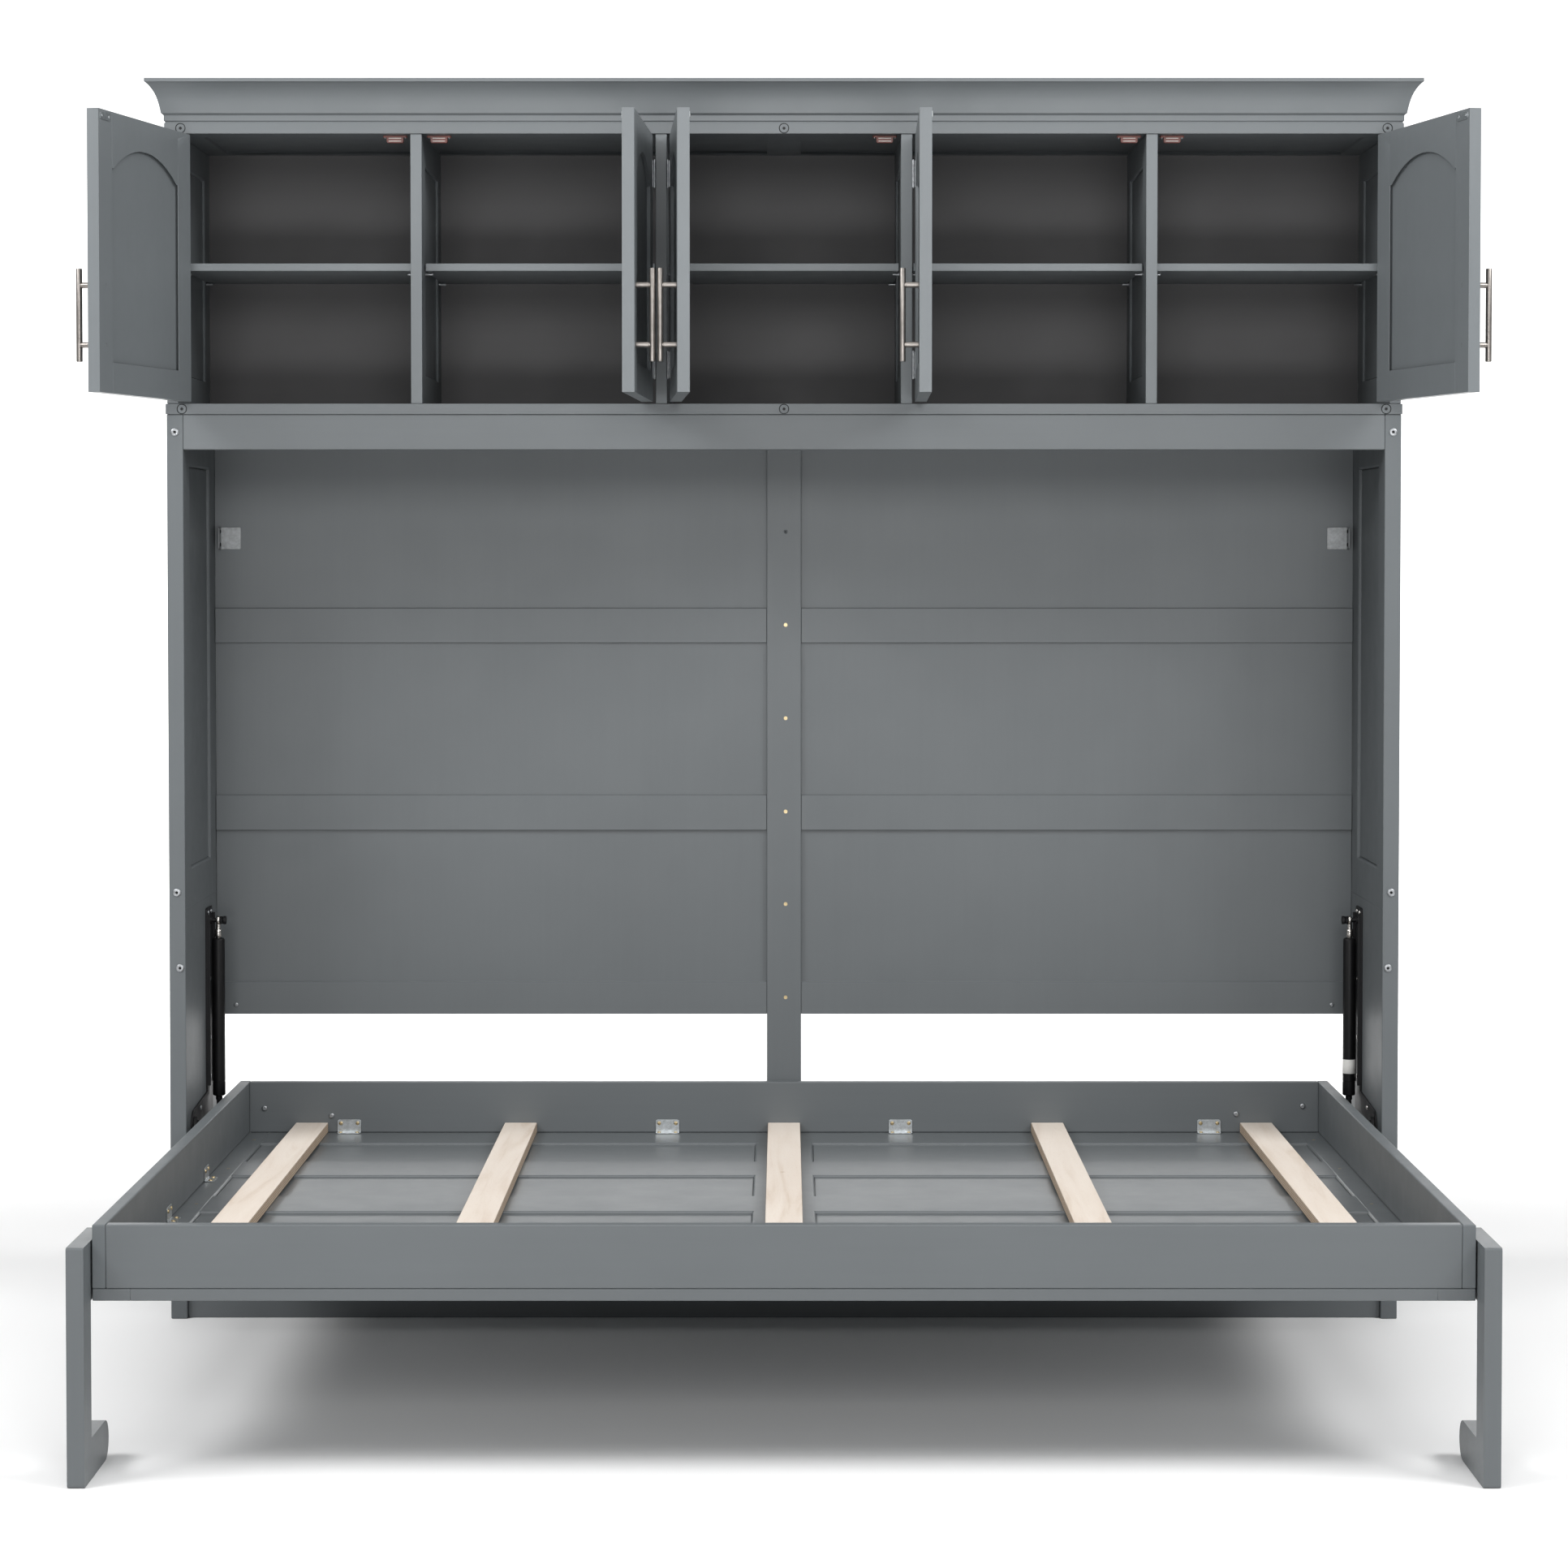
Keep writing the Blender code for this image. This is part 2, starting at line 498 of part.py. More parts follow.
# ----------------------------------------------------------------- mechanism
for side, sx in (("left", -1), ("right", 1)):
    # steel plate on the cabinet side, with the strut stud and the bed's pivot pin
    r = 0.006
    plate_outline = (
        arc(PLATE_Y[0] + r, PLATE_Z[1] - r, r, 180, 90, 2)
        + arc(PLATE_Y[1] - r, PLATE_Z[1] - r, r, 90, 0, 2)
        + arc(PLATE_Y[1] - r, PLATE_Z[0] + r, r, 0, -90, 2)
        + arc(PLATE_Y[0] - 0.02, PLATE_Z[0] + r, r, -90, -120, 1)
        + arc(PIVOT_Y, PIVOT_Z, PIVOT_Y - PLATE_ARM_Y0, 250, 110, 6)
        + [(PLATE_Y[0], PLATE_ARM_Z[1] + 0.004)]
    )
    plate = add(f"strut_bracket_{side}", prism_x(plate_outline, sx * PLATE_X[0], sx * PLATE_X[1]), BLACK)
    pins = bmesh.new()
    xr = sx * (PLATE_X[0] + 0.001)
    turned([(0.0, 0.0), (0.0, 0.0065), (-sx * 0.005, 0.0065), (-sx * 0.005, 0.004), (-sx * (PLATE_X[0] + 0.001 - 1.0005), 0.004),
            (-sx * (PLATE_X[0] + 0.001 - 1.0005), 0.0075), (-sx * (PLATE_X[0] + 0.001 - 0.9955), 0.0075),
            (-sx * (PLATE_X[0] + 0.001 - 0.9955), 0.0)], (xr, STRUT_Y, STRUT_TOP), "X", 12, pins)
    turned([(0.0, 0.0), (0.0, 0.014), (-sx * 0.006, 0.014), (-sx * 0.006, PIN_R), (-sx * (PLATE_X[0] + 0.001 - 0.9850), PIN_R),
            (-sx * (PLATE_X[0] + 0.001 - 0.9850), 0.0)], (xr, PIVOT_Y, PIVOT_Z), "X", 16, pins)
    boolean(plate, pins, "UNION")

    # arm bolted to the bed's side rail, turning on the pin
    ra = 0.0275
    arm_outline = arc(PIVOT_Y, PIVOT_Z, ra, 270, 90, 10) + arc(STRUT_Y, STRUT_BOT, ra - 0.005, 90, -90, 8)
    arm = add(f"bed_arm_{side}", prism_x(arm_outline, sx * ARM_X[0], sx * ARM_X[1]), BLACK, origin=PIV)
    arm.parent = bed
    arm.location = (0.0, 0.0, 0.0)
    hole = rod((sx * (ARM_X[0] - 0.002), 0.0, 0.0), "X", 0.0, sx * 0.008, PIN_HOLE_R, 20)
    boolean(arm, hole, "DIFFERENCE")

    # gas strut: rod above, cylinder below
    sc = (sx * STRUT_X, STRUT_Y, 0.0)
    rod_ob = add(f"strut_rod_{side}", turned([(ROD_BOT, 0.0), (ROD_BOT, ROD_R), (0.636, ROD_R), (0.636, 0.0062), (0.647, 0.0062), (0.648, 0.0042),
                                              (0.662, 0.0042), (0.662, 0.0)], sc, "Z", 12), CHROME, origin=(sx * STRUT_X, STRUT_Y, STRUT_TOP))
    boolean(rod_ob, rod((sx * STRUT_X, STRUT_Y, STRUT_TOP), "X", -0.0036, 0.0036, 0.0085, 14), "UNION")
    boolean(rod_ob, rod((sx * STRUT_X, STRUT_Y, STRUT_TOP), "X", -0.010, 0.010, 0.0050, 12), "DIFFERENCE")

    cyl = add(f"strut_cylinder_{side}", turned([(CYL_Z[0], 0.0), (CYL_Z[0], CYL_R - 0.002), (CYL_Z[0] + 0.002, CYL_R), (CYL_Z[1] - 0.0015, CYL_R),
                                                (CYL_Z[1], CYL_R - 0.0015), (CYL_Z[1], BORE_R), (BORE_BOT, BORE_R), (BORE_BOT, 0.0)],
                                               sc, "Z", 16), BLACK, origin=(sx * STRUT_X, STRUT_Y, STRUT_TOP))
    eye = bmesh.new()
    rod((sx * STRUT_X, STRUT_Y, 0.0), "Z", STRUT_BOT, CYL_Z[0] + 0.006, 0.0048, 12, eye)
    boolean(cyl, eye, "UNION")
    eye = turned([(sx * 0.0055, 0.0), (sx * 0.0055, 0.0090), (-sx * 0.0055, 0.0090), (-sx * 0.0055, 0.0040),
                  (-sx * (STRUT_X - ARM_X[1] - 0.0006), 0.0040), (-sx * (STRUT_X - ARM_X[1] - 0.0006), 0.0)],
                 (sx * STRUT_X, STRUT_Y, STRUT_BOT), "X", 12)
    boolean(cyl, eye, "UNION")

# round pieces are shaded smooth, with crisp edges kept
for ob in bpy.data.objects:
    if ob.type == "MESH" and ob.name.startswith(("door_pull", "strut_", "leg_", "bed_arm", "hutch_top")):
        ob.data.shade_smooth()
        ob.data.set_sharp_from_angle(angle=math.radians(30))
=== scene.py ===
"""Looks of the side-tilting wall bed: satin grey paint, birch slats, and all the small hardware.

Everything is in metres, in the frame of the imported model. D(x, y, z) takes cabinet
coordinates, where y = 0 is the cabinet's front plane, and gives that frame.
"""
import math

import bmesh
import bpy
from mathutils import Matrix, Vector


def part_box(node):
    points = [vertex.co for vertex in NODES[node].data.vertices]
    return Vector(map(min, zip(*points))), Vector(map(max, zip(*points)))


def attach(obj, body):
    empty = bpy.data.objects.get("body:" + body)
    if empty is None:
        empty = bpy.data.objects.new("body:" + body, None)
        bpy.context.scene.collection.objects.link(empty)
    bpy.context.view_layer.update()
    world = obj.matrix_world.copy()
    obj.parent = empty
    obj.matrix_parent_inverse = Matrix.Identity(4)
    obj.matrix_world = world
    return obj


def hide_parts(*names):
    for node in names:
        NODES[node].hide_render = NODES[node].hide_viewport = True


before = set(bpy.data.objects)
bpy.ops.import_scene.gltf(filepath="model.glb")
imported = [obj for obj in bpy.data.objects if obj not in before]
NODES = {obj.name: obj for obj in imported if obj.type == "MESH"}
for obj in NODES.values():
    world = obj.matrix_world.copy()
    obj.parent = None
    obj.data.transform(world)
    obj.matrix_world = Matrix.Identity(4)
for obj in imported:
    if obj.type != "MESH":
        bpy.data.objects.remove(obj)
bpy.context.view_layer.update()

scene = bpy.context.scene
pi = math.pi

# ------------------------------------------------------------ places, from the CAD
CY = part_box("side_panel_left")[0].y                    # cabinet front plane
CAB_IN = -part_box("side_panel_left")[1].x               # inside face of a cabinet side
CAB_OUT = -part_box("side_panel_left")[0].x
HUTCH_IN = -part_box("hutch_side_left")[1].x
BACK_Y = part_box("hutch_back_panel")[0].y - CY
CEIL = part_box("hutch_divider_1")[1].z + 0.0003
BAYS = []
_edges = [-HUTCH_IN]
for _i in range(1, 5):
    _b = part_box(f"hutch_divider_{_i}")
    _edges += [_b[0].x, _b[1].x]
_edges.append(HUTCH_IN)
BAYS = [(_edges[2 * i], _edges[2 * i + 1]) for i in range(5)]
STILE_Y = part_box("centre_back_stile")[0].y - CY
RAIL_BACK_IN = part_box("bed_rail_back")[0].y - CY       # inside face of the bed's back rail
RAIL_SIDE_IN = -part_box("bed_rail_left")[1].x
BASE_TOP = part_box("bed_base_panel")[1].z
SHELF_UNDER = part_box("shelf_1")[0].z

# doors: hinge axis, which side it is hung on, and how far it stands open
HINGED_LEFT = (True, False, True, True, False)
DOOR_OPEN = (102.5, 87.7, 86.45, 91.0, 102.5)
DOOR_W, DOOR_T, AXIS_SIDE, AXIS_FRONT = 0.3925, 0.020, 0.0015, 0.003
DOOR_Z = (1.577, 2.031)
HINGE_Z, HINGE_H, HINGE_R = (1.640, 1.9655), 0.046, 0.0026


def D(x, y, z):
    return Vector((x, y + CY, z))


def door_matrix(i):
    """Door i's own frame: x from the hinge towards the free edge is +s, y into the cabinet when shut."""
    x0, x1 = BAYS[i - 1]
    left = HINGED_LEFT[i - 1]
    s = 1 if left else -1
    ax = x0 + AXIS_SIDE if left else x1 - AXIS_SIDE
    m = Matrix.Translation(D(ax, -AXIS_FRONT, 0.0)) @ Matrix.Rotation(math.radians(-s * DOOR_OPEN[i - 1]), 4, "Z")
    return m, s


# ------------------------------------------------------------------------ materials
def nt_new(name):
    m = bpy.data.materials.new(name)
    m.use_nodes = True
    nt = m.node_tree
    bsdf = nt.nodes["Principled BSDF"]
    return m, nt, bsdf


def link(nt, a, b):
    nt.links.new(a, b)


def coords(nt, scale=(1, 1, 1), rotation=(0, 0, 0)):
    tc = nt.nodes.new("ShaderNodeTexCoord")
    mp = nt.nodes.new("ShaderNodeMapping")
    mp.inputs["Scale"].default_value = scale
    mp.inputs["Rotation"].default_value = rotation
    link(nt, tc.outputs["Object"], mp.inputs["Vector"])
    return mp.outputs["Vector"]


def noise(nt, vec, scale, detail=3.0, rough=0.55, distortion=0.0):
    n = nt.nodes.new("ShaderNodeTexNoise")
    n.inputs["Scale"].default_value = scale
    n.inputs["Detail"].default_value = detail
    n.inputs["Roughness"].default_value = rough
    n.inputs["Distortion"].default_value = distortion
    link(nt, vec, n.inputs["Vector"])
    return n.outputs["Fac"]


def maprange(nt, src, a, b, c, d):
    n = nt.nodes.new("ShaderNodeMapRange")
    for k, v in zip(("From Min", "From Max", "To Min", "To Max"), (a, b, c, d)):
        n.inputs[k].default_value = v
    link(nt, src, n.inputs["Value"])
    return n.outputs["Result"]


def ramp(nt, src, stops):
    n = nt.nodes.new("ShaderNodeValToRGB")
    cr = n.color_ramp
    while len(cr.elements) > 1:
        cr.elements.remove(cr.elements[-1])
    cr.elements[0].position, cr.elements[0].color = stops[0][0], (*stops[0][1], 1)
    for p, c in stops[1:]:
        e = cr.elements.new(p)
        e.color = (*c, 1)
    link(nt, src, n.inputs["Fac"])
    return n.outputs["Color"]


def mixcol(nt, fac, a, b, kind="MIX"):
    n = nt.nodes.new("ShaderNodeMix")
    n.data_type = "RGBA"
    n.blend_type = kind
    n.clamp_factor = True
    for key, v in (("Factor", fac), ("A", a), ("B", b)):
        sock = [s for s in n.inputs if s.name == key and (s.type == "RGBA" if key != "Factor" else s.type == "VALUE")][0]
        if isinstance(v, (int, float)):
            sock.default_value = v
        elif isinstance(v, tuple):
            sock.default_value = (*v, 1)
        else:
            link(nt, v, sock)
    return [s for s in n.outputs if s.type == "RGBA"][0]


def math_node(nt, op, a, b=None, clamp=False):
    n = nt.nodes.new("ShaderNodeMath")
    n.operation = op
    n.use_clamp = clamp
    for i, v in enumerate((a, b)):
        if v is None:
            continue
        if isinstance(v, (int, float)):
            n.inputs[i].default_value = v
        else:
            link(nt, v, n.inputs[i])
    return n.outputs[0]


def bump(nt, height, distance, strength=1.0, normal=None):
    n = nt.nodes.new("ShaderNodeBump")
    n.inputs["Strength"].default_value = strength
    n.inputs["Distance"].default_value = distance
    link(nt, height, n.inputs["Height"])
    if normal is not None:
        link(nt, normal, n.inputs["Normal"])
    return n.outputs["Normal"]


def paint(name, base, grain, rough=(0.37, 0.44), dark=0.965, light=1.03, glow=0.36, relief=0.6):
    """Sprayed satin enamel over wood: orange peel, faint grain telegraphing along `grain`, cloudy tone."""
    m, nt, b = nt_new(name)
    v = coords(nt)
    stretch = {"X": (3.0, 90.0, 90.0), "Y": (90.0, 3.0, 90.0), "Z": (90.0, 90.0, 3.0)}[grain]
    vg = coords(nt, stretch)
    cloud = noise(nt, v, 2.6, 3.0, 0.6)
    grainy = noise(nt, vg, 1.0, 4.0, 0.62, 0.4)
    lo = tuple(c * dark for c in base)
    hi = tuple(c * light for c in base)
    tone = ramp(nt, cloud, [(0.32, lo), (0.5, base), (0.7, hi)])
    streak = maprange(nt, grainy, 0.25, 0.75, 0.985, 1.015)
    comb = nt.nodes.new("ShaderNodeCombineColor")
    for i in range(3):
        link(nt, streak, comb.inputs[i])
    col = mixcol(nt, 1.0, tone, comb.outputs[0], "MULTIPLY")
    link(nt, col, b.inputs["Base Color"])
    blotch = noise(nt, v, 14.0, 4.0, 0.65)
    link(nt, maprange(nt, blotch, 0.3, 0.7, rough[0], rough[1]), b.inputs["Roughness"])
    peel = noise(nt, v, 620.0, 2.0, 0.5)
    wave = noise(nt, v, 34.0, 2.0, 0.5)
    n1 = bump(nt, grainy, 0.00006 * relief, 0.4)
    n2 = bump(nt, wave, 0.00022 * relief, 0.3, n1)
    n3 = bump(nt, peel, 0.00005 * relief, 0.45, n2)
    link(nt, n3, b.inputs["Normal"])
    b.inputs["Specular IOR Level"].default_value = glow
    return m


GREY = (0.115, 0.126, 0.1325)
P_Z = paint("satin_paint_upright", GREY, "Z")
P_X = paint("satin_paint_cross", GREY, "X")
# the bed's side rails get the same grey a tenth lighter: painted light
P_Y_LIT = paint("satin_paint_deep_painted_light", tuple(c * 1.10 for c in GREY), "Y", (0.44, 0.52), glow=0.16)
# doors, shelves and dividers get the same grey made lighter: painted light, for the extra light these forward parts
# catch
P_DOOR_LIT = paint("satin_paint_door_painted_light", tuple(c * 1.18 for c in GREY), "Z")
P_SHELF_LIT = paint("satin_paint_shelf_painted_light", tuple(c * 1.22 for c in GREY), "X")
P_DIV_LIT = paint("satin_paint_divider_painted_light", tuple(c * 1.15 for c in GREY), "Z")
P_SIDE = paint("satin_paint_side", GREY, "Z", (0.46, 0.54), glow=0.22)
P_BASE = paint("satin_paint_base_panel", tuple(c * 0.97 for c in GREY), "X", (0.30, 0.34), 0.98, 1.02, 0.36, 0.02)
# the hutch's back panel gets a darker grey: painted shade, for the shade deep in the hutch's bays
P_IN_SHADED = paint("satin_paint_hutch_back_painted_shade", (0.084, 0.082, 0.084), "X", (0.50, 0.58), 0.985, 1.015, 0.25)
P_CAP = paint("satin_paint_cap", tuple(c * 1.02 for c in GREY), "X", (0.40, 0.50))


def birch():
    m, nt, b = nt_new("birch_plywood")
    v = coords(nt)
    vg = coords(nt, (26.0, 1.6, 26.0))
    figure = noise(nt, vg, 1.0, 5.0, 0.6, 1.4)
    pores = noise(nt, coords(nt, (900.0, 60.0, 900.0)), 1.0, 2.0, 0.5)
    cloud = noise(nt, v, 5.0, 3.0, 0.55)
    face = ramp(nt, figure, [(0.28, (0.60, 0.49, 0.39)), (0.46, (0.71, 0.62, 0.535)), (0.62, (0.745, 0.665, 0.585)), (0.8, (0.66, 0.56, 0.465))])
    face = mixcol(nt, maprange(nt, cloud, 0.35, 0.7, 0.0, 0.45), face, (0.76, 0.685, 0.61))
    face = mixcol(nt, maprange(nt, pores, 0.58, 0.80, 0.0, 0.28), face, (0.50, 0.37, 0.26))
    # a few pin knots
    vor = nt.nodes.new("ShaderNodeTexVoronoi")
    vor.inputs["Scale"].default_value = 9.0
    vor.inputs["Randomness"].default_value = 1.0
    link(nt, coords(nt, (1.0, 0.8, 1.0)), vor.inputs["Vector"])
    knot = maprange(nt, vor.outputs["Distance"], 0.020, 0.050, 0.55, 0.0)
    face = mixcol(nt, knot, face, (0.42, 0.27, 0.16))
    # plies on the edges: bands across the thickness
    tc = nt.nodes.new("ShaderNodeTexCoord")
    sep = nt.nodes.new("ShaderNodeSeparateXYZ")
    link(nt, tc.outputs["Object"], sep.inputs[0])
    wob = noise(nt, v, 40.0, 2.0, 0.5)
    zz = math_node(nt, "ADD", sep.outputs["Z"], math_node(nt, "MULTIPLY", wob, 0.0006))
    band = math_node(nt, "FRACT", math_node(nt, "MULTIPLY", zz, 1.0 / 0.0040))
    ply = math_node(nt, "GREATER_THAN", band, 0.5)
    glue = math_node(nt, "LESS_THAN", math_node(nt, "ABSOLUTE", math_node(nt, "SUBTRACT", band, 0.5)), 0.06)
    endg = noise(nt, coords(nt, (420.0, 420.0, 30.0)), 1.0, 3.0, 0.6)
    light_ply = ramp(nt, endg, [(0.3, (0.52, 0.40, 0.29)), (0.7, (0.70, 0.585, 0.46))])
    dark_ply = ramp(nt, endg, [(0.3, (0.33, 0.225, 0.145)), (0.7, (0.50, 0.37, 0.26))])
    edge = mixcol(nt, ply, light_ply, dark_ply)
    edge = mixcol(nt, math_node(nt, "MULTIPLY", glue, 0.6), edge, (0.20, 0.12, 0.07))
    sepn = nt.nodes.new("ShaderNodeSeparateXYZ")
    link(nt, tc.outputs["Normal"], sepn.inputs[0])
    side = maprange(nt, math_node(nt, "ABSOLUTE", sepn.outputs["Z"]), 0.35, 0.75, 1.0, 0.0)
    col = mixcol(nt, side, face, edge)
    link(nt, col, b.inputs["Base Color"])
    link(nt, maprange(nt, figure, 0.3, 0.7, 0.48, 0.62), b.inputs["Roughness"])
    n1 = bump(nt, figure, 0.00012, 0.5)
    n2 = bump(nt, pores, 0.00010, 0.45, n1)
    n3 = bump(nt, math_node(nt, "MULTIPLY", math_node(nt, "ADD", ply, endg), side), 0.00012, 0.4, n2)
    link(nt, n3, b.inputs["Normal"])
    b.inputs["Specular IOR Level"].default_value = 0.35
    return m


BIRCH = birch()


def metal(name, color, rough, metallic=1.0, brushed=None, spangle=0.0, fine=0.00003):
    """Metal with directional brushing (axis) or zinc-like spangle."""
    m, nt, b = nt_new(name)
    v = coords(nt)
    if brushed:
        sc = {"X": (40, 2600, 2600), "Y": (2600, 40, 2600), "Z": (2600, 2600, 40)}[brushed]
        n = noise(nt, coords(nt, sc), 1.0, 3.0, 0.6)
    else:
        n = noise(nt, v, 900.0, 3.0, 0.6)
    big = noise(nt, v, 130.0 if spangle else 60.0, 3.0, 0.7)
    lo = tuple(c * (0.80 - spangle) for c in color)
    hi = tuple(min(1.0, c * 1.06) for c in color)
    tone = ramp(nt, big, [(0.30, lo), (0.70, hi)])
    streak = maprange(nt, n, 0.25, 0.75, 0.90, 1.06)
    comb = nt.nodes.new("ShaderNodeCombineColor")
    for i in range(3):
        link(nt, streak, comb.inputs[i])
    link(nt, mixcol(nt, 1.0, tone, comb.outputs[0], "MULTIPLY"), b.inputs["Base Color"])
    link(nt, maprange(nt, n, 0.3, 0.7, rough - 0.06, rough + 0.08), b.inputs["Roughness"])
    link(nt, bump(nt, n, fine, 0.6), b.inputs["Normal"])
    b.inputs["Metallic"].default_value = metallic
    return m


NICKEL = metal("brushed_nickel", (0.29, 0.268, 0.250), 0.36, brushed="Z")
ZINC = metal("zinc_plate", (0.40, 0.415, 0.43), 0.40, spangle=0.12)
ZINC_DULL = metal("zinc_plate_matt", (0.26, 0.27, 0.275), 0.50, spangle=0.05)
ZINC_BRIGHT = metal("zinc_plate_bright", (0.60, 0.63, 0.645), 0.32, spangle=0.14)
BRASS = metal("yellow_passivated_screw", (0.56, 0.45, 0.27), 0.36)
CHROME = metal("rod_chrome", (0.62, 0.60, 0.57), 0.20, brushed="Z", fine=0.00001)
STEEL = metal("catch_steel", (0.56, 0.51, 0.475), 0.48, metallic=0.25, brushed="X")


def powder(name, color, rough, spec=0.5, size=1500.0):
    """Powder coat or moulded plastic with a fine texture."""
    m, nt, b = nt_new(name)
    v = coords(nt)
    n = noise(nt, v, size, 2.0, 0.5)
    c = noise(nt, v, 30.0, 3.0, 0.6)
    lo, hi = tuple(x * 0.82 for x in color), tuple(x * 1.25 for x in color)
    link(nt, ramp(nt, c, [(0.3, lo), (0.7, hi)]), b.inputs["Base Color"])
    link(nt, maprange(nt, c, 0.3, 0.7, rough - 0.05, rough + 0.07), b.inputs["Roughness"])
    link(nt, bump(nt, n, 0.00004, 0.5), b.inputs["Normal"])
    b.inputs["Specular IOR Level"].default_value = spec
    return m


BLACK = powder("black_powder_coat", (0.009, 0.009, 0.010), 0.50, 0.25)
TUBE = powder("strut_enamel", (0.005, 0.005, 0.0055), 0.42, 0.22, 2500.0)
BROWN = powder("catch_body", (0.175, 0.070, 0.060), 0.42, 0.4)
# painted shade: near-black fill for the bottoms of bores, sockets and holes
DARKHOLE = powder("recess_shadow", (0.010, 0.010, 0.011), 0.7)
LABEL = powder("blank_label", (0.62, 0.62, 0.60), 0.55, 0.4, 700.0)


# ------------------------------------------------------------------- mesh helpers
def at(origin, normal, up=(0, 0, 1)):
    """Matrix whose +Z is `normal`, at `origin`."""
    z = Vector(normal).normalized()
    x = Vector(up).cross(z)
    if x.length < 1e-6:
        x = Vector((1, 0, 0)).cross(z)
        if x.length < 1e-6:
            x = Vector((0, 1, 0)).cross(z)
    x.normalize()
    y = z.cross(x)
    o = Vector(origin)
    return Matrix(((x.x, y.x, z.x, o.x), (x.y, y.y, z.y, o.y), (x.z, y.z, z.z, o.z), (0, 0, 0, 1)))


def radius(r, k, segs):
    if not isinstance(r, tuple):
        return r
    kind, val = r
    t = 2 * pi * k / segs
    if kind == "hex":
        return val * math.cos(pi / 6) / math.cos(((t + pi / 6) % (pi / 3)) - pi / 6)
    j = k % (segs // 4)
    arm = j <= segs // 24 or j >= segs // 4 - segs // 24
    return val if arm else val * 0.42


def lathe(bm, profile, m, segs=32):
    """Closed turned solid along local +Z. profile: (radius, height) from the bottom up; radius may be ('hex', r) or ('cross', r)."""
    rings = []
    for r, h in profile:
        if not isinstance(r, tuple) and r <= 0:
            rings.append([bm.verts.new(m @ Vector((0, 0, h)))])
        else:
            rings.append([bm.verts.new(m @ Vector((radius(r, k, segs) * math.cos(2 * pi * k / segs), radius(r, k, segs) * math.sin(2 * pi * k / segs), h)))
                          for k in range(segs)])
    for a, b in zip(rings, rings[1:]):
        for k in range(segs):
            j = (k + 1) % segs
            if len(a) == 1:
                bm.faces.new((a[0], b[k], b[j]))
            elif len(b) == 1:
                bm.faces.new((a[j], a[k], b[0]))
            else:
                bm.faces.new((a[k], a[j], b[j], b[k]))
    if len(rings[0]) > 1:
        bm.faces.new(list(reversed(rings[0])))
    if len(rings[-1]) > 1:
        bm.faces.new(rings[-1])
    return bm


def collar(bm, r_out, r_in, z0, z1, m, segs=40):
    """Closed ring with a hole, along local +Z."""
    rings = [[bm.verts.new(m @ Vector((r * math.cos(2 * pi * k / segs), r * math.sin(2 * pi * k / segs), z))) for k in range(segs)]
             for r, z in ((r_out, z0), (r_out, z1), (r_in, z1), (r_in, z0))]
    for i in range(4):
        a, b = rings[i], rings[(i + 1) % 4]
        for k in range(segs):
            j = (k + 1) % segs
            bm.faces.new((a[k], a[j], b[j], b[k]))
    return bm


def slab(bm, outline, m, thick):
    """Outline of (a, b) points in the local XY plane, from local z = 0 to thick."""
    lo = [bm.verts.new(m @ Vector((a, b, 0))) for a, b in outline]
    hi = [bm.verts.new(m @ Vector((a, b, thick))) for a, b in outline]
    n = len(outline)
    for i in range(n):
        j = (i + 1) % n
        bm.faces.new((lo[i], lo[j], hi[j], hi[i]))
    bm.faces.new(list(reversed(lo)))
    bm.faces.new(hi)
    return bm


def rounded(w, h, r, cx=0.0, cy=0.0, n=4):
    pts = []
    for sx, sy, a0 in ((1, 1, 0), (-1, 1, 90), (-1, -1, 180), (1, -1, 270)):
        for k in range(n + 1):
            a = math.radians(a0 + 90.0 * k / n)
            pts.append((cx + sx * (w / 2 - r) + r * math.cos(a), cy + sy * (h / 2 - r) + r * math.sin(a)))
    return pts


def block(bm, x0, x1, y0, y1, z0, z1, m=None):
    m = m or Matrix.Identity(4)
    vs = [bm.verts.new(m @ Vector((x, y, z))) for x in (min(x0, x1), max(x0, x1)) for y in (min(y0, y1), max(y0, y1)) for z in (min(z0, z1), max(z0, z1))]
    for f in ((0, 1, 3, 2), (4, 6, 7, 5), (0, 4, 5, 1), (2, 3, 7, 6), (0, 2, 6, 4), (1, 5, 7, 3)):
        bm.faces.new([vs[i] for i in f])
    return bm


def emit(name, bm, body, mat, bevel=0.0, segments=2, smooth=35.0):
    bmesh.ops.recalc_face_normals(bm, faces=bm.faces)
    me = bpy.data.meshes.new(name)
    bm.to_mesh(me)
    bm.free()
    me.materials.append(mat)
    me.shade_smooth()
    me.set_sharp_from_angle(angle=math.radians(smooth))
    ob = bpy.data.objects.new(name, me)
    scene.collection.objects.link(ob)
    if bevel:
        bv = ob.modifiers.new("round", "BEVEL")
        bv.width, bv.segments, bv.limit_method, bv.angle_limit = bevel, segments, "ANGLE", math.radians(40)
        bv.harden_normals = False
        wn = ob.modifiers.new("normals", "WEIGHTED_NORMAL")
        wn.keep_sharp = False
        me.shade_smooth()
    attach(ob, body)
    return ob


# profiles of the fasteners, outward along +Z from the surface
def hex_button(bm, m, r, h, socket, sink=-0.0004):
    return lathe(bm, [(r, sink), (r, h * 0.30), (r * 0.96, h * 0.62), (r * 0.80, h * 0.92), (r * 0.60, h), (("hex", socket * 1.06), h), (("hex", socket), h - 0.0003), (("hex", socket * 0.96), h * 0.15)], m, 36)


def cross_pan(bm, m, r, h, sink=-0.0004):
    return lathe(bm, [(r, sink), (r, h * 0.25), (r * 0.93, h * 0.62), (r * 0.74, h * 0.92), (r * 0.62, h), (("cross", r * 0.52), h), (("cross", r * 0.40), h * 0.25)], m, 24)


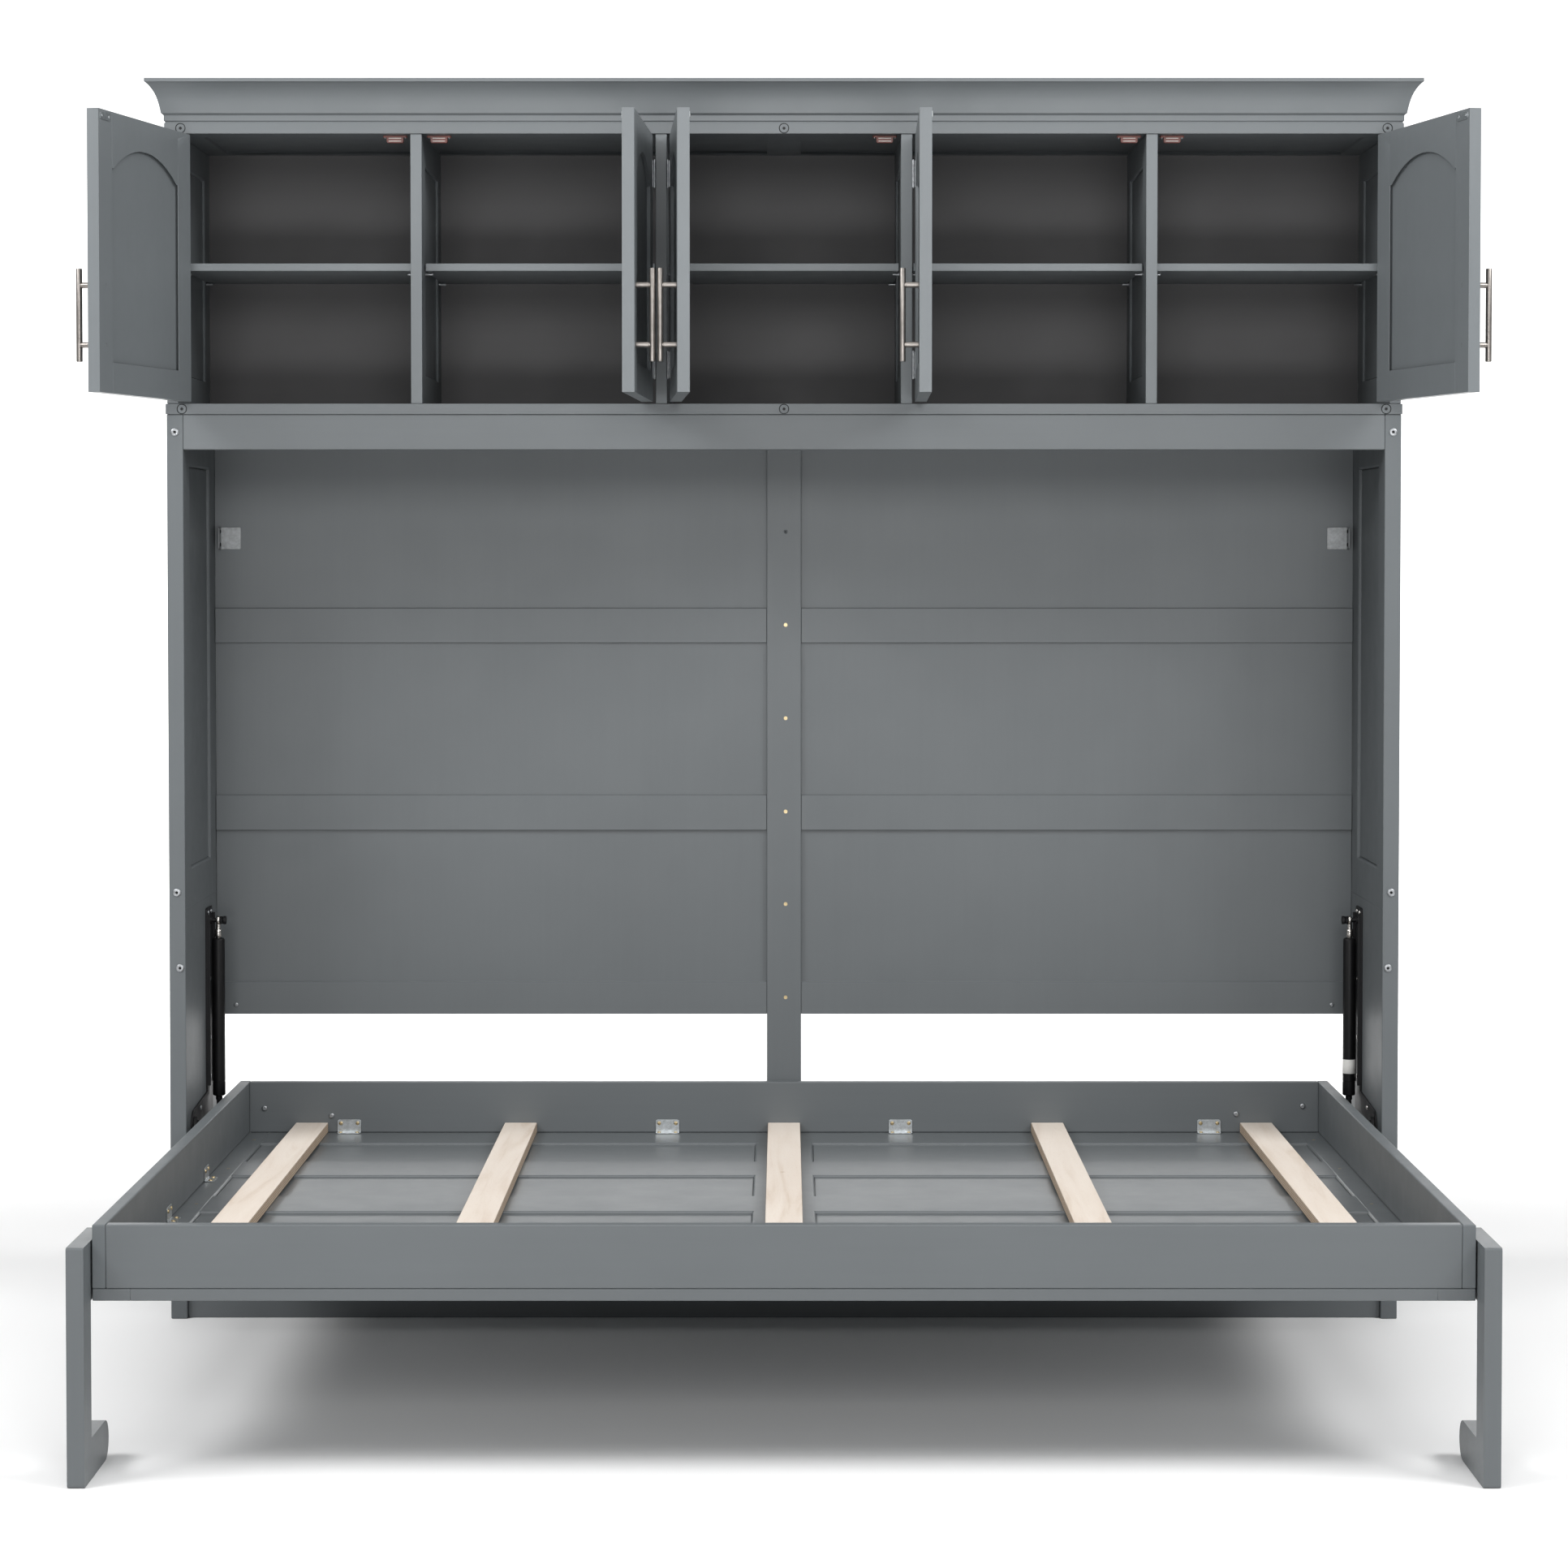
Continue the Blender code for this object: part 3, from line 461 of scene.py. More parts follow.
def flat_screw(bm, m, r, depth=0.0):
    """Countersunk head whose rim lies `depth` under the surface."""
    return lathe(bm, [(r * 0.4, -0.0022 - depth), (r, -0.0003 - depth), (r, 0.00002 - depth), (r * 0.66, 0.00004 - depth), (("cross", r * 0.50), -0.00002 - depth), (("cross", r * 0.34), -0.0011 - depth)], m, 24)


# ------------------------------------------------------------- finish of CAD nodes
smooth_group = bpy.data.node_groups.new("smooth_shading", "GeometryNodeTree")
smooth_group.interface.new_socket("Geometry", in_out="INPUT", socket_type="NodeSocketGeometry")
smooth_group.interface.new_socket("Geometry", in_out="OUTPUT", socket_type="NodeSocketGeometry")
_i = smooth_group.nodes.new("NodeGroupInput")
_s = smooth_group.nodes.new("GeometryNodeSetShadeSmooth")
_o = smooth_group.nodes.new("NodeGroupOutput")
smooth_group.links.new(_i.outputs[0], _s.inputs["Geometry"])
smooth_group.links.new(_s.outputs[0], _o.inputs[0])


def finish_node(name, mat, width, segments=3, angle=32.0, cutters=()):
    """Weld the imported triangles, ease every edge, cut the seams and bores, and even out the normals."""
    o = NODES[name]
    o.data.materials.clear()
    o.data.materials.append(mat)
    w = o.modifiers.new("weld", "WELD")
    w.merge_threshold = 0.00002
    if width:
        b = o.modifiers.new("ease", "BEVEL")
        b.width, b.segments, b.limit_method, b.angle_limit = width, segments, "ANGLE", math.radians(angle)
        b.miter_outer = "MITER_SHARP"
        b.use_clamp_overlap = True
    for c in cutters:
        x = o.modifiers.new("cut", "BOOLEAN")
        x.operation, x.solver, x.object = "DIFFERENCE", "EXACT", c
        x.material_mode = "INDEX"
    g = o.modifiers.new("smooth", "NODES")
    g.node_group = smooth_group
    wn = o.modifiers.new("normals", "WEIGHTED_NORMAL")
    wn.keep_sharp = False
    wn.mode = "FACE_AREA"
    wn.weight = 60
    return o


def cutter(name, bm, body):
    bmesh.ops.recalc_face_normals(bm, faces=bm.faces)
    me = bpy.data.meshes.new(name)
    bm.to_mesh(me)
    bm.free()
    ob = bpy.data.objects.new(name, me)
    scene.collection.objects.link(ob)
    ob.hide_render = True
    ob.display_type = "WIRE"
    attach(ob, body)
    return ob


def vgroove(bm, p0, p1, normal, half=0.00045, deep=0.0006, m=None):
    """Diamond prism along a joint line, which cuts a fine V into the surface with that normal."""
    m = m or Matrix.Identity(4)
    a, b, n = Vector(p0), Vector(p1), Vector(normal).normalized()
    t = (b - a).normalized()
    s = t.cross(n)
    loops = []
    for p in (a, b):
        loops.append([bm.verts.new(m @ (p + q)) for q in (s * half, n * deep, -s * half, -n * deep)])
    for i in range(4):
        j = (i + 1) % 4
        bm.faces.new((loops[0][i], loops[0][j], loops[1][j], loops[1][i]))
    bm.faces.new(list(reversed(loops[0])))
    bm.faces.new(loops[1])


def rect(a0, a1, b0, b1):
    return lambda d: [(a0 + d, b0 + d), (a1 - d, b0 + d), (a1 - d, b1 - d), (a0 + d, b1 - d)]


def arch(a0, a1, b0, spring, rise, shoulder, steps=12):
    """Rectangle whose top is an arc with small shoulders, moved inwards by d."""
    c = (a1 - a0) / 2.0 - shoulder
    big = (c * c + rise * rise) / (2.0 * rise)
    mid, low = (a0 + a1) / 2.0, spring + rise - big

    def outline(d):
        r, z = big - d, spring - d
        half = math.sqrt(r * r - (z - low) ** 2)
        top = math.atan2(z - low, half)
        arc = [(mid + r * math.cos(top + (pi - 2.0 * top) * k / steps), low + r * math.sin(top + (pi - 2.0 * top) * k / steps)) for k in range(steps + 1)]
        return [(a0 + d, b0 + d), (a1 - d, b0 + d), (a1 - d, z)] + arc + [(a0 + d, z)]

    return outline


def channel(bm, outline, d_out, d_in, w0, w1, place):
    """Closed ring channel that follows outline, between offsets d_out and d_in and depths w0 and w1. place(a, b, w) gives the point."""
    rings = [[bm.verts.new(place(a, b, w)) for a, b in outline(d)] for d, w in ((d_out, w0), (d_out, w1), (d_in, w1), (d_in, w0))]
    n = len(rings[0])
    for i in range(4):
        p, q = rings[i], rings[(i + 1) % 4]
        for k in range(n):
            j = (k + 1) % n
            bm.faces.new((p[k], p[j], q[j], q[k]))
    return bm


# cabinet sides: rail and stile joints
SIDE_REC_Y, SIDE_REC_Z, MID_RAIL_Z, REC_D = (0.066, 0.285), (0.772, 1.470), 0.706, 0.005
CAB_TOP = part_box("side_panel_left")[1].z
CAB_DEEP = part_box("side_panel_left")[1].y - CY
for side, sx in (("left", -1), ("right", 1)):
    c = bmesh.new()
    for face, nx in ((sx * CAB_IN, -sx), (sx * CAB_OUT, sx)):
        vgroove(c, D(face, -0.01, MID_RAIL_Z), D(face, CAB_DEEP + 0.01, MID_RAIL_Z), (nx, 0, 0))
        for y in SIDE_REC_Y:
            vgroove(c, D(face, y, MID_RAIL_Z + 0.0011), D(face, y, SIDE_REC_Z[0] - 0.0004), (nx, 0, 0))
            vgroove(c, D(face, y, SIDE_REC_Z[1] + 0.0004), D(face, y, CAB_TOP - 0.003), (nx, 0, 0))
    g = bmesh.new()
    for face, nx in ((sx * CAB_IN, -sx), (sx * CAB_OUT, sx)):
        channel(g, rect(*SIDE_REC_Y, *SIDE_REC_Z), 0.0022, 0.0036, -REC_D - 0.0050, -REC_D + 0.0014, lambda y, z, w, f=face, q=nx: D(f + q * w, y, z))
    finish_node(f"side_panel_{side}", P_SIDE, 0.0015, cutters=[cutter(f"side_seams_{side}", c, "cabinet"), cutter(f"side_panel_gap_{side}", g, "cabinet")])

# top and floor boards: three counterbored connector bolts each
BORE_X = (-1.0295, 0.0, 1.0295)
BORE_R = 0.0088
CEIL_X, CEIL_Y, CEIL_REC = (0.0300, 1.0000), (0.0580, 0.3310), 0.0055
ceiling, seams = bmesh.new(), bmesh.new()
for x0, x1 in BAYS:
    halves = [(x0, -CEIL_X[0]), (CEIL_X[0], x1)] if x0 < 0 < x1 else [(max(x0, -CEIL_X[1]), min(x1, CEIL_X[1]))]
    for xa, xb in halves:
        block(ceiling, xa, xb, CEIL_Y[0] + CY, CEIL_Y[1] + CY, CEIL - 0.004, CEIL + CEIL_REC)
for xa, xb in ((-CEIL_X[0] + 0.0004, CEIL_X[0] - 0.0004), (-HUTCH_IN + 0.001, -CEIL_X[1] - 0.0004), (CEIL_X[1] + 0.0004, HUTCH_IN - 0.001)):
    for y in CEIL_Y:
        vgroove(seams, D(xa, y, CEIL), D(xb, y, CEIL), (0, 0, -1), 0.0005, 0.0007)
for node, z, name in (("hutch_top_with_crown", 2.043, "top"), ("hutch_floor_panel", 1.565, "floor")):
    front = -0.002
    c = bmesh.new()
    for x in BORE_X:
        lathe(c, [(BORE_R, -0.0030), (BORE_R, 0.003)], at(D(x, front, z), (0, -1, 0)), 40)
    tools = [cutter(f"{name}_board_bores", c, "cabinet")]
    if name == "top":
        tools += [cutter("ceiling_recesses", ceiling, "cabinet"), cutter("ceiling_seams", seams, "cabinet")]
    finish_node(node, P_X, 0.0006 if name == "top" else 0.0012, 2, cutters=tools)
    b = bmesh.new()
    for x in BORE_X:
        lathe(b, [(0.0060, -0.0030), (0.0075, -0.0028), (0.0075, -0.0006), (0.0071, -0.0001), (0.0050, 0.0000), (("hex", 0.0029), 0.0000), (("hex", 0.0027), -0.0022)],
              at(D(x, front, z), (0, -1, 0)), 36)
    emit(f"{name}_board_bolts", b, "cabinet", P_CAP)
    # dark linings in the bores and dark plugs in the hex sockets: painted shade
    b = bmesh.new()
    for x in BORE_X:
        lathe(b, [(0.0026, -0.0024), (0.0026, -0.0010)], at(D(x, front, z), (0, -1, 0)), 18)
        collar(b, BORE_R + 0.0002, BORE_R - 0.0004, -0.0032, -0.0004, at(D(x, front, z), (0, -1, 0)))
        collar(b, BORE_R, 0.0060, -0.0034, -0.0029, at(D(x, front, z), (0, -1, 0)))
    emit(f"{name}_board_bolt_socket_shade", b, "cabinet", DARKHOLE)

finish_node("header_rail", P_X, 0.0016)
finish_node("base_rail", P_X, 0.0012)
finish_node("hutch_back_panel", P_IN_SHADED, 0.0)
for k in (1, 2, 3, 4, 5):
    finish_node(f"shelf_{k}", P_SHELF_LIT, 0.0012)
DIV_REC = rect(0.060, 0.296, 1.624, 1.984)
for n in ("hutch_side_left", "hutch_side_right", "hutch_divider_1", "hutch_divider_2", "hutch_divider_3", "hutch_divider_4"):
    lo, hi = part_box(n)
    g = bmesh.new()
    for face, nx in ((lo.x, -1), (hi.x, 1)):
        channel(g, DIV_REC, 0.0016, 0.0030, -0.0078, -0.0026, lambda y, z, w, f=face, q=nx: D(f + q * w, y, z))
    finish_node(n, P_DIV_LIT, 0.0010, cutters=[cutter(f"{n}_gap", g, "cabinet")])

# back panel: fixing screws from behind, two face screws low down; stile: six countersinks, with screws in five of them
c = bmesh.new()
rear = CAB_DEEP
REAR_Z = (0.50, 0.85, 1.19, 1.54)
rear_pts = [(x, z) for z in REAR_Z for x in (-0.95, -0.64, -0.33, 0.0, 0.33, 0.64, 0.95)] + [(sx * 1.018, z) for sx in (-1, 1) for z in (0.67, 1.02, 1.37)]
for x, z in rear_pts:
    lathe(c, [(0.0016, -0.0032), (0.0040, -0.0006), (0.0040, 0.002)], at(D(x, rear, z), (0, 1, 0)), 20)
finish_node("lower_back_panel", P_Z, 0.0010, 2, cutters=[cutter("back_panel_countersinks", c, "cabinet")])
b = bmesh.new()
for x, z in rear_pts:
    flat_screw(b, at(D(x, rear, z), (0, 1, 0)), 0.0036, 0.0005)
emit("back_panel_rear_screws", b, "cabinet", ZINC)
b = bmesh.new()
for x in (-0.9923, 0.9923):
    cross_pan(b, at(D(x, 0.340, 0.5010), (0, -1, 0)), 0.0040, 0.0016)
emit("back_panel_front_screws", b, "cabinet", ZINC)

STILE_SCREW_Z = (1.3574, 1.1891, 1.0205, 0.8516, 0.6839, 0.5145)
c = bmesh.new()
for z in STILE_SCREW_Z:
    lathe(c, [(0.0014, -0.0028), (0.0037, -0.0004), (0.0037, 0.002)], at(D(0.0029, STILE_Y, z), (0, -1, 0)), 24)
finish_node("centre_back_stile", P_Z, 0.0012, cutters=[cutter("stile_countersinks", c, "cabinet")])
b = bmesh.new()
for z in STILE_SCREW_Z[1:]:
    flat_screw(b, at(D(0.0029, STILE_Y, z), (0, -1, 0)), 0.0034, 0.0004)
emit("stile_screws", b, "cabinet", BRASS)
# dark plug at the bottom of the empty countersink's pilot hole: painted shade
b = bmesh.new()
lathe(b, [(0.0012, -0.0029), (0.0013, -0.0022)], at(D(0.0029, STILE_Y, STILE_SCREW_Z[0]), (0, -1, 0)), 16)
emit("stile_pilot_hole_shade", b, "cabinet", DARKHOLE)

# bright bolts through the cabinet sides' front edges
b = bmesh.new()
for sx in (-1, 1):
    for x, z in ((1.0420, 1.5256), (1.0424, 0.736), (1.0375, 0.606)):
        m = at(D(sx * x, 0.0, z), (0, -1, 0))
        hex_button(b, m, 0.0068, 0.0022, 0.0027)
emit("side_panel_bolts", b, "cabinet", ZINC)
# dark discs at the bottoms of the bolts' hex sockets: painted shade
b = bmesh.new()
for sx in (-1, 1):
    for x, z in ((1.0420, 1.5256), (1.0424, 0.736), (1.0375, 0.606)):
        lathe(b, [(0.0024, 0.0000), (0.0024, 0.0004)], at(D(sx * x, 0.0, z), (0, -1, 0)), 18)
emit("side_panel_bolt_socket_shade", b, "cabinet", DARKHOLE)

# angle brackets on the back panel
for side, sx in (("left", -1), ("right", 1)):
    b = bmesh.new()
    xc, zc = sx * 0.9992, 1.3452
    slab(b, rounded(0.0372, 0.0396, 0.003), at(D(xc, 0.3445 + 0.0013, zc), (0, -1, 0)), 0.0016)
    slab(b, rounded(0.0245, 0.0396, 0.003), at(D(sx * 1.0178, 0.3335, zc), (-sx, 0, 0)), 0.0016)
    lathe(b, [(0.0008, 0.0), (0.0008, 0.0397)], at(D(sx * 1.0170, 0.3446, zc - 0.0198), (0, 0, 1)), 12)
    emit(f"wall_bracket_{side}", b, "cabinet", ZINC_DULL, bevel=0.0004)
    b = bmesh.new()
    for dz in (-0.0115, 0.0125):
        cross_pan(b, at(D(sx * 1.0162, 0.3335, zc + dz), (-sx, 0, 0)), 0.0036, 0.0014)
    emit(f"wall_bracket_screws_{side}", b, "cabinet", BLACK)

# shelf pins: sleeve, collar and a round pin under the shelf
b = bmesh.new()
for x0, x1 in BAYS:
    for x, nx in ((x0, 1), (x1, -1)):
        for y in (0.072, 0.312):
            m = at(D(x, y, SHELF_UNDER - 0.0031), (nx, 0, 0))
            lathe(b, [(0.0025, -0.006), (0.0025, 0.0002), (0.0042, 0.0004), (0.0042, 0.0014), (0.0027, 0.0016), (0.0027, 0.0120), (0.0022, 0.0126)], m, 24)
emit("shelf_pins", b, "cabinet", ZINC)

# magnetic catches under the top board, beside each door's free edge
CATCH_X = (-0.6662, -0.5911, 0.1725, 0.5911, 0.6648)
b, st, sc = bmesh.new(), bmesh.new(), bmesh.new()
for x in CATCH_X:
    slab(b, rounded(0.0128, 0.0415, 0.003), at(D(x, 0.0300, CEIL - 0.0003), (0, 0, -1)), 0.0036)
    body = [(-0.0148, 0.0), (0.0148, 0.0), (0.0143, -0.0080), (0.0128, -0.0098), (-0.0128, -0.0098), (-0.0143, -0.0080)]
    slab(b, [(a, c - 0.0030) for a, c in body], at(D(x, 0.0366, CEIL), (0, -1, 0)), 0.0130)
    for dz in (0.0052, 0.0100):
        block(st, x - 0.0108, x + 0.0108, 0.0226 + CY, 0.0300 + CY, CEIL - dz - 0.0008, CEIL - dz + 0.0008)
    for dx in (-0.0172, 0.0172):
        cross_pan(sc, at(D(x + dx, 0.0290, CEIL - 0.0039), (0, 0, -1)), 0.0021, 0.0015)
emit("catch_bodies", b, "cabinet", BROWN, bevel=0.0007)
emit("catch_pole_plates", st, "cabinet", STEEL, bevel=0.0002)
emit("catch_screws", sc, "cabinet", ZINC)

# --------------------------------------------------------------------------- doors
STILE, RAIL, SPRING, DREC = 0.055, 0.050, 1.940, 0.0055
PULL_Z, PULL_CC, PULL_EDGE, PULL_OFF, PULL_R, PULL_LEN = 1.702, 0.096, 0.028, 0.0265, 0.005, 0.150
for i in range(1, 6):
    m, s = door_matrix(i)
    body = f"door_{i}"
    Y0, Y1 = AXIS_FRONT, AXIS_FRONT + DOOR_T
    a0, a1 = s * (AXIS_SIDE + STILE), s * (AXIS_SIDE + DOOR_W - STILE)
    c = bmesh.new()
    for y, n in ((Y0, (0, -1, 0)), (Y1, (0, 1, 0))):
        for a in (a0, a1):
            vgroove(c, (a, y, DOOR_Z[0] + 0.0025), (a, y, DOOR_Z[0] + RAIL - 0.0004), n, m=m)
            vgroove(c, (a, y, SPRING + 0.0012), (a, y, DOOR_Z[1] - 0.0025), n, m=m)
    px = s * (AXIS_SIDE + DOOR_W - PULL_EDGE)
    for dz in (-PULL_CC / 2, PULL_CC / 2):
        lathe(c, [(0.0036, -0.0042), (0.0036, 0.003)], m @ at((px, Y1, PULL_Z + dz), (0, 1, 0)), 24)
    # the panel floats in a groove that shows as a gap on the inside, and as a fine line outside
    g = bmesh.new()
    shape = arch(min(a0, a1), max(a0, a1), DOOR_Z[0] + RAIL, SPRING, 0.040, 0.006)
    channel(g, shape, -0.0100, 0.0057, Y1 - DREC - 0.00015, Y1 - 0.0013, lambda a, z, y, m=m: m @ Vector((a, y, z)))
    channel(g, shape, 0.0030, 0.0040, Y0 + DREC - 0.0020, Y0 + DREC + 0.0012, lambda a, z, y, m=m: m @ Vector((a, y, z)))
    finish_node(body, P_DOOR_LIT, 0.0022, 3, 40.0, cutters=[cutter(f"door_{i}_seams", c, body), cutter(f"door_{i}_panel_gap", g, body)])
    # pull screws, set in their bores
    b = bmesh.new()
    for dz in (-PULL_CC / 2, PULL_CC / 2):
        cross_pan(b, m @ at((px, Y1 - 0.0040, PULL_Z + dz), (0, 1, 0)), 0.0033, 0.0016, 0.0)
    emit(f"door_{i}_pull_screws", b, body, BLACK)
    # bar pull
    b = bmesh.new()
    mb = m @ Matrix.Translation((px, Y0 - PULL_OFF, PULL_Z))
    half = PULL_LEN / 2
    lathe(b, [(PULL_R - 0.0011, -half), (PULL_R - 0.0003, -half + 0.0003), (PULL_R, -half + 0.0011), (PULL_R, half - 0.0011), (PULL_R - 0.0003, half - 0.0003), (PULL_R - 0.0011, half)], mb, 48)
    for dz in (-PULL_CC / 2, PULL_CC / 2):
        mp = m @ at((px, Y0 - PULL_OFF, PULL_Z + dz), (0, 1, 0))
        lathe(b, [(0.0040, 0.0), (0.0040, PULL_R - 0.0004), (0.0046, PULL_R + 0.0004), (0.0046, PULL_OFF - 0.0014), (0.0044, PULL_OFF - 0.0011), (0.0047, PULL_OFF - 0.0009), (0.0047, PULL_OFF - 0.0004)], mp, 40)
    ob = emit(f"bar_pull_{i}", b, body, NICKEL, smooth=25)
    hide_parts(f"door_pull_{i}")
    # strike plate at the free top corner of the inside face
    b = bmesh.new()
    mc = m @ at((s * (AXIS_SIDE + DOOR_W - 0.0285), Y1 - 0.0003, DOOR_Z[1] - 0.0105), (0, 1, 0))
    slab(b, rounded(0.044, 0.013, 0.0062, n=8), mc, 0.0012)
    for dx in (-0.014, 0.014):
        lathe(b, [(0.0028, 0.0010), (0.0028, 0.0014), (0.0024, 0.0017), (("cross", 0.0016), 0.0017), (("cross", 0.0012), 0.0013)], mc @ Matrix.Translation((dx, 0, 0)), 24)
    emit(f"door_{i}_strike_plate", b, body, ZINC_BRIGHT, bevel=0.0002)
    # butt hinges: knuckles alternate between the door's leaf and the cabinet's
    jamb = BAYS[i - 1][0] if s > 0 else BAYS[i - 1][1]
    for k, hz in zip(("lower", "upper"), HINGE_Z):
        n_k, gap = 5, 0.0003
        hk = HINGE_H / n_k
        b, cb, sc = bmesh.new(), bmesh.new(), bmesh.new()
        for q in range(n_k):
            z0 = hz - HINGE_H / 2 + q * hk + (gap if q else 0.0)
            z1 = hz - HINGE_H / 2 + (q + 1) * hk - (gap if q < n_k - 1 else 0.0)
            mine = q % 2 == 0
            prof = [(HINGE_R - 0.0003, z0), (HINGE_R, z0 + 0.0003), (HINGE_R, z1 - 0.0003), (HINGE_R - 0.0003, z1)]
            base = m if mine else Matrix.Translation(m.translation)
            lathe(b if mine else cb, prof, base, 28)
        lathe(b, [(0.0, hz - HINGE_H / 2 - 0.0016), (0.0014, hz - HINGE_H / 2 - 0.0012), (0.0019, hz - HINGE_H / 2), (0.0019, hz + HINGE_H / 2), (0.0014, hz + HINGE_H / 2 + 0.0012), (0.0, hz + HINGE_H / 2 + 0.0016)], m, 24)
        # door leaf lies on the door's edge, cabinet leaf on the jamb
        x_in, x_out = s * 0.0003, s * 0.0013
        block(b, x_in, x_out, 0.0008, 0.018, hz - HINGE_H / 2 + 0.0006, hz + HINGE_H / 2 - 0.0006, m)
        jx0, jx1 = jamb + s * 0.0001, jamb + s * 0.0010
        block(cb, jx0, jx1, -AXIS_FRONT + CY + 0.0010, 0.0165 + CY, hz - HINGE_H / 2 + 0.0006, hz + HINGE_H / 2 - 0.0006)
        for dz in (-0.015, 0.0, 0.015):
            flat_screw(sc, at(Vector((jx1, 0.0095 + CY, hz + dz)), (s, 0, 0)), 0.0026, -0.00012)
        ob = emit(f"door_{i}_butt_{k}", b, body, ZINC)
        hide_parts(f"door_{i}_hinge_{k}")
        emit(f"door_{i}_jamb_leaf_{k}", cb, "cabinet", ZINC)
        emit(f"door_{i}_jamb_screws_{k}", sc, "cabinet", ZINC)

# ----------------------------------------------------------------------------- bed
BED_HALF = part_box("bed_base_panel")[1].x
BED_F, BED_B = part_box("bed_base_panel")[0].y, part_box("bed_base_panel")[1].y
BASE_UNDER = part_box("bed_base_panel")[0].z
END_STILE = BED_HALF - 0.054
c = bmesh.new()
for z, n in ((BASE_TOP, (0, 0, 1)), (BASE_UNDER, (0, 0, -1))):
    for sx in (-1, 1):
        for ya, yb in ((BED_F - 0.01, -1.0189 + CY), (-0.8181 + CY, -0.6804 + CY), (-0.4796 + CY, -0.3419 + CY), (-0.1411 + CY, -0.0034 + CY), (0.1974 + CY, BED_B + 0.01)):
            vgroove(c, (sx * END_STILE, ya, z), (sx * END_STILE, yb, z), n, 0.0006, 0.0008)
c2 = bmesh.new()
for y, n in ((BED_F, (0, -1, 0)), (BED_B, (0, 1, 0))):
    for sx in (-1, 1):
        vgroove(c2, (sx * END_STILE, y, BASE_UNDER - 0.004), (sx * END_STILE, y, BASE_TOP + 0.004), n, 0.00051, 0.00067)
c3 = bmesh.new()
for r in range(4):
    y1 = 0.197 - r * 0.3385
    for xa, xb in ((-0.930, -0.048), (0.048, 0.930)):
        for z, q in ((BASE_TOP, -1), (BASE_UNDER, 1)):
            channel(c3, rect(xa, xb, y1 - 0.200, y1), 0.0022, 0.0034, 0.0055, 0.0028, lambda a, y, w, z=z, q=q: D(a, y, z + q * w))
finish_node("bed_base_panel", P_BASE, 0.0014, 2, cutters=[cutter("base_panel_seams", c, "bed"), cutter("base_panel_end_seams", c2, "bed"), cutter("base_panel_gaps", c3, "bed")])
for n, mat in (("bed_rail_front", P_X), ("bed_rail_back", P_X), ("bed_rail_left", P_Y_LIT), ("bed_rail_right", P_Y_LIT)):
    finish_node(n, mat, 0.0020)
RAIL_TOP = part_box("bed_rail_front")[1].z

# slats: rounded corners and screw slots
for k in range(1, 6):
    lo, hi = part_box(f"slat_{k}")
    cx = (lo.x + hi.x) / 2
    c = bmesh.new()
    marks = [(lo.y + 0.030, 0), (hi.y - 0.012, 0), (-0.404 + CY, 1), (-0.02 + CY, 2)]
    for y, kind in marks:
        off = (0.004, -0.003, -0.006, 0.005, -0.004)[k - 1]
        slab(c, rounded(0.0085 if kind < 2 else 0.004, 0.0032 if kind < 2 else 0.0030, 0.0014), Matrix.Translation((cx + off, y, hi.z - 0.0016)), 0.004)
    finish_node(f"slat_{k}", BIRCH, 0.0014, 3, cutters=[cutter(f"slat_{k}_slots", c, "bed")])

# angle brackets between rails and base panel
def bed_angle(b, sc, origin, inward, along):
    """Plate 42 x 24 on the rail with a 16 wide foot on the panel. origin: middle of the inside corner."""
    o, n, t = Vector(origin), Vector(inward), Vector(along)
    up = Vector((0, 0, 1))
    m = Matrix(((t.x, up.x, n.x, o.x), (t.y, up.y, n.y, o.y), (t.z, up.z, n.z, o.z), (0, 0, 0, 1)))
    slab(b, rounded(0.0424, 0.0235, 0.0035, 0.0, 0.0120), m @ Matrix.Translation((0, 0, 0.0003)), 0.0015)
    mf = Matrix(((t.x, n.x, up.x, o.x), (t.y, n.y, up.y, o.y), (t.z, n.z, up.z, o.z), (0, 0, 0, 1)))
    slab(b, rounded(0.0424, 0.0158, 0.0030, 0.0, 0.0083), mf @ Matrix.Translation((0, 0, 0.0003)), 0.0015)
    block(b, -0.0180, 0.0180, 0.0004, 0.0032, 0.0004, 0.0032, m)
    for dx in (-0.0150, 0.0150):
        cross_pan(sc, m @ Matrix.Translation((dx, 0.0172, 0.0018)), 0.0035, 0.0018)
        cross_pan(sc, mf @ Matrix.Translation((dx, 0.0100, 0.0018)), 0.0035, 0.0018)


b, sc = bmesh.new(), bmesh.new()
for x in (-0.7847, -0.2103, 0.2103, 0.7671):
    bed_angle(b, sc, D(x, RAIL_BACK_IN, BASE_TOP), (0, -1, 0), (1, 0, 0))
for y in (-0.190, -0.563):
    bed_angle(b, sc, D(-RAIL_SIDE_IN, y, BASE_TOP), (1, 0, 0), (0, 1, 0))
emit("bed_angle_brackets", b, "bed", ZINC_BRIGHT, bevel=0.0003)
emit("bed_angle_screws", sc, "bed", BRASS)
b = bmesh.new()
for x, z in ((-0.9377, 0.3168), (-0.8166, 0.3034), (0.8162, 0.3064), (0.9362, 0.3206)):
    hex_button(b, at(D(x, RAIL_BACK_IN, z), (0, -1, 0)), 0.0050, 0.0022, 0.0020)
emit("bed_back_rail_bolts", b, "bed", ZINC)
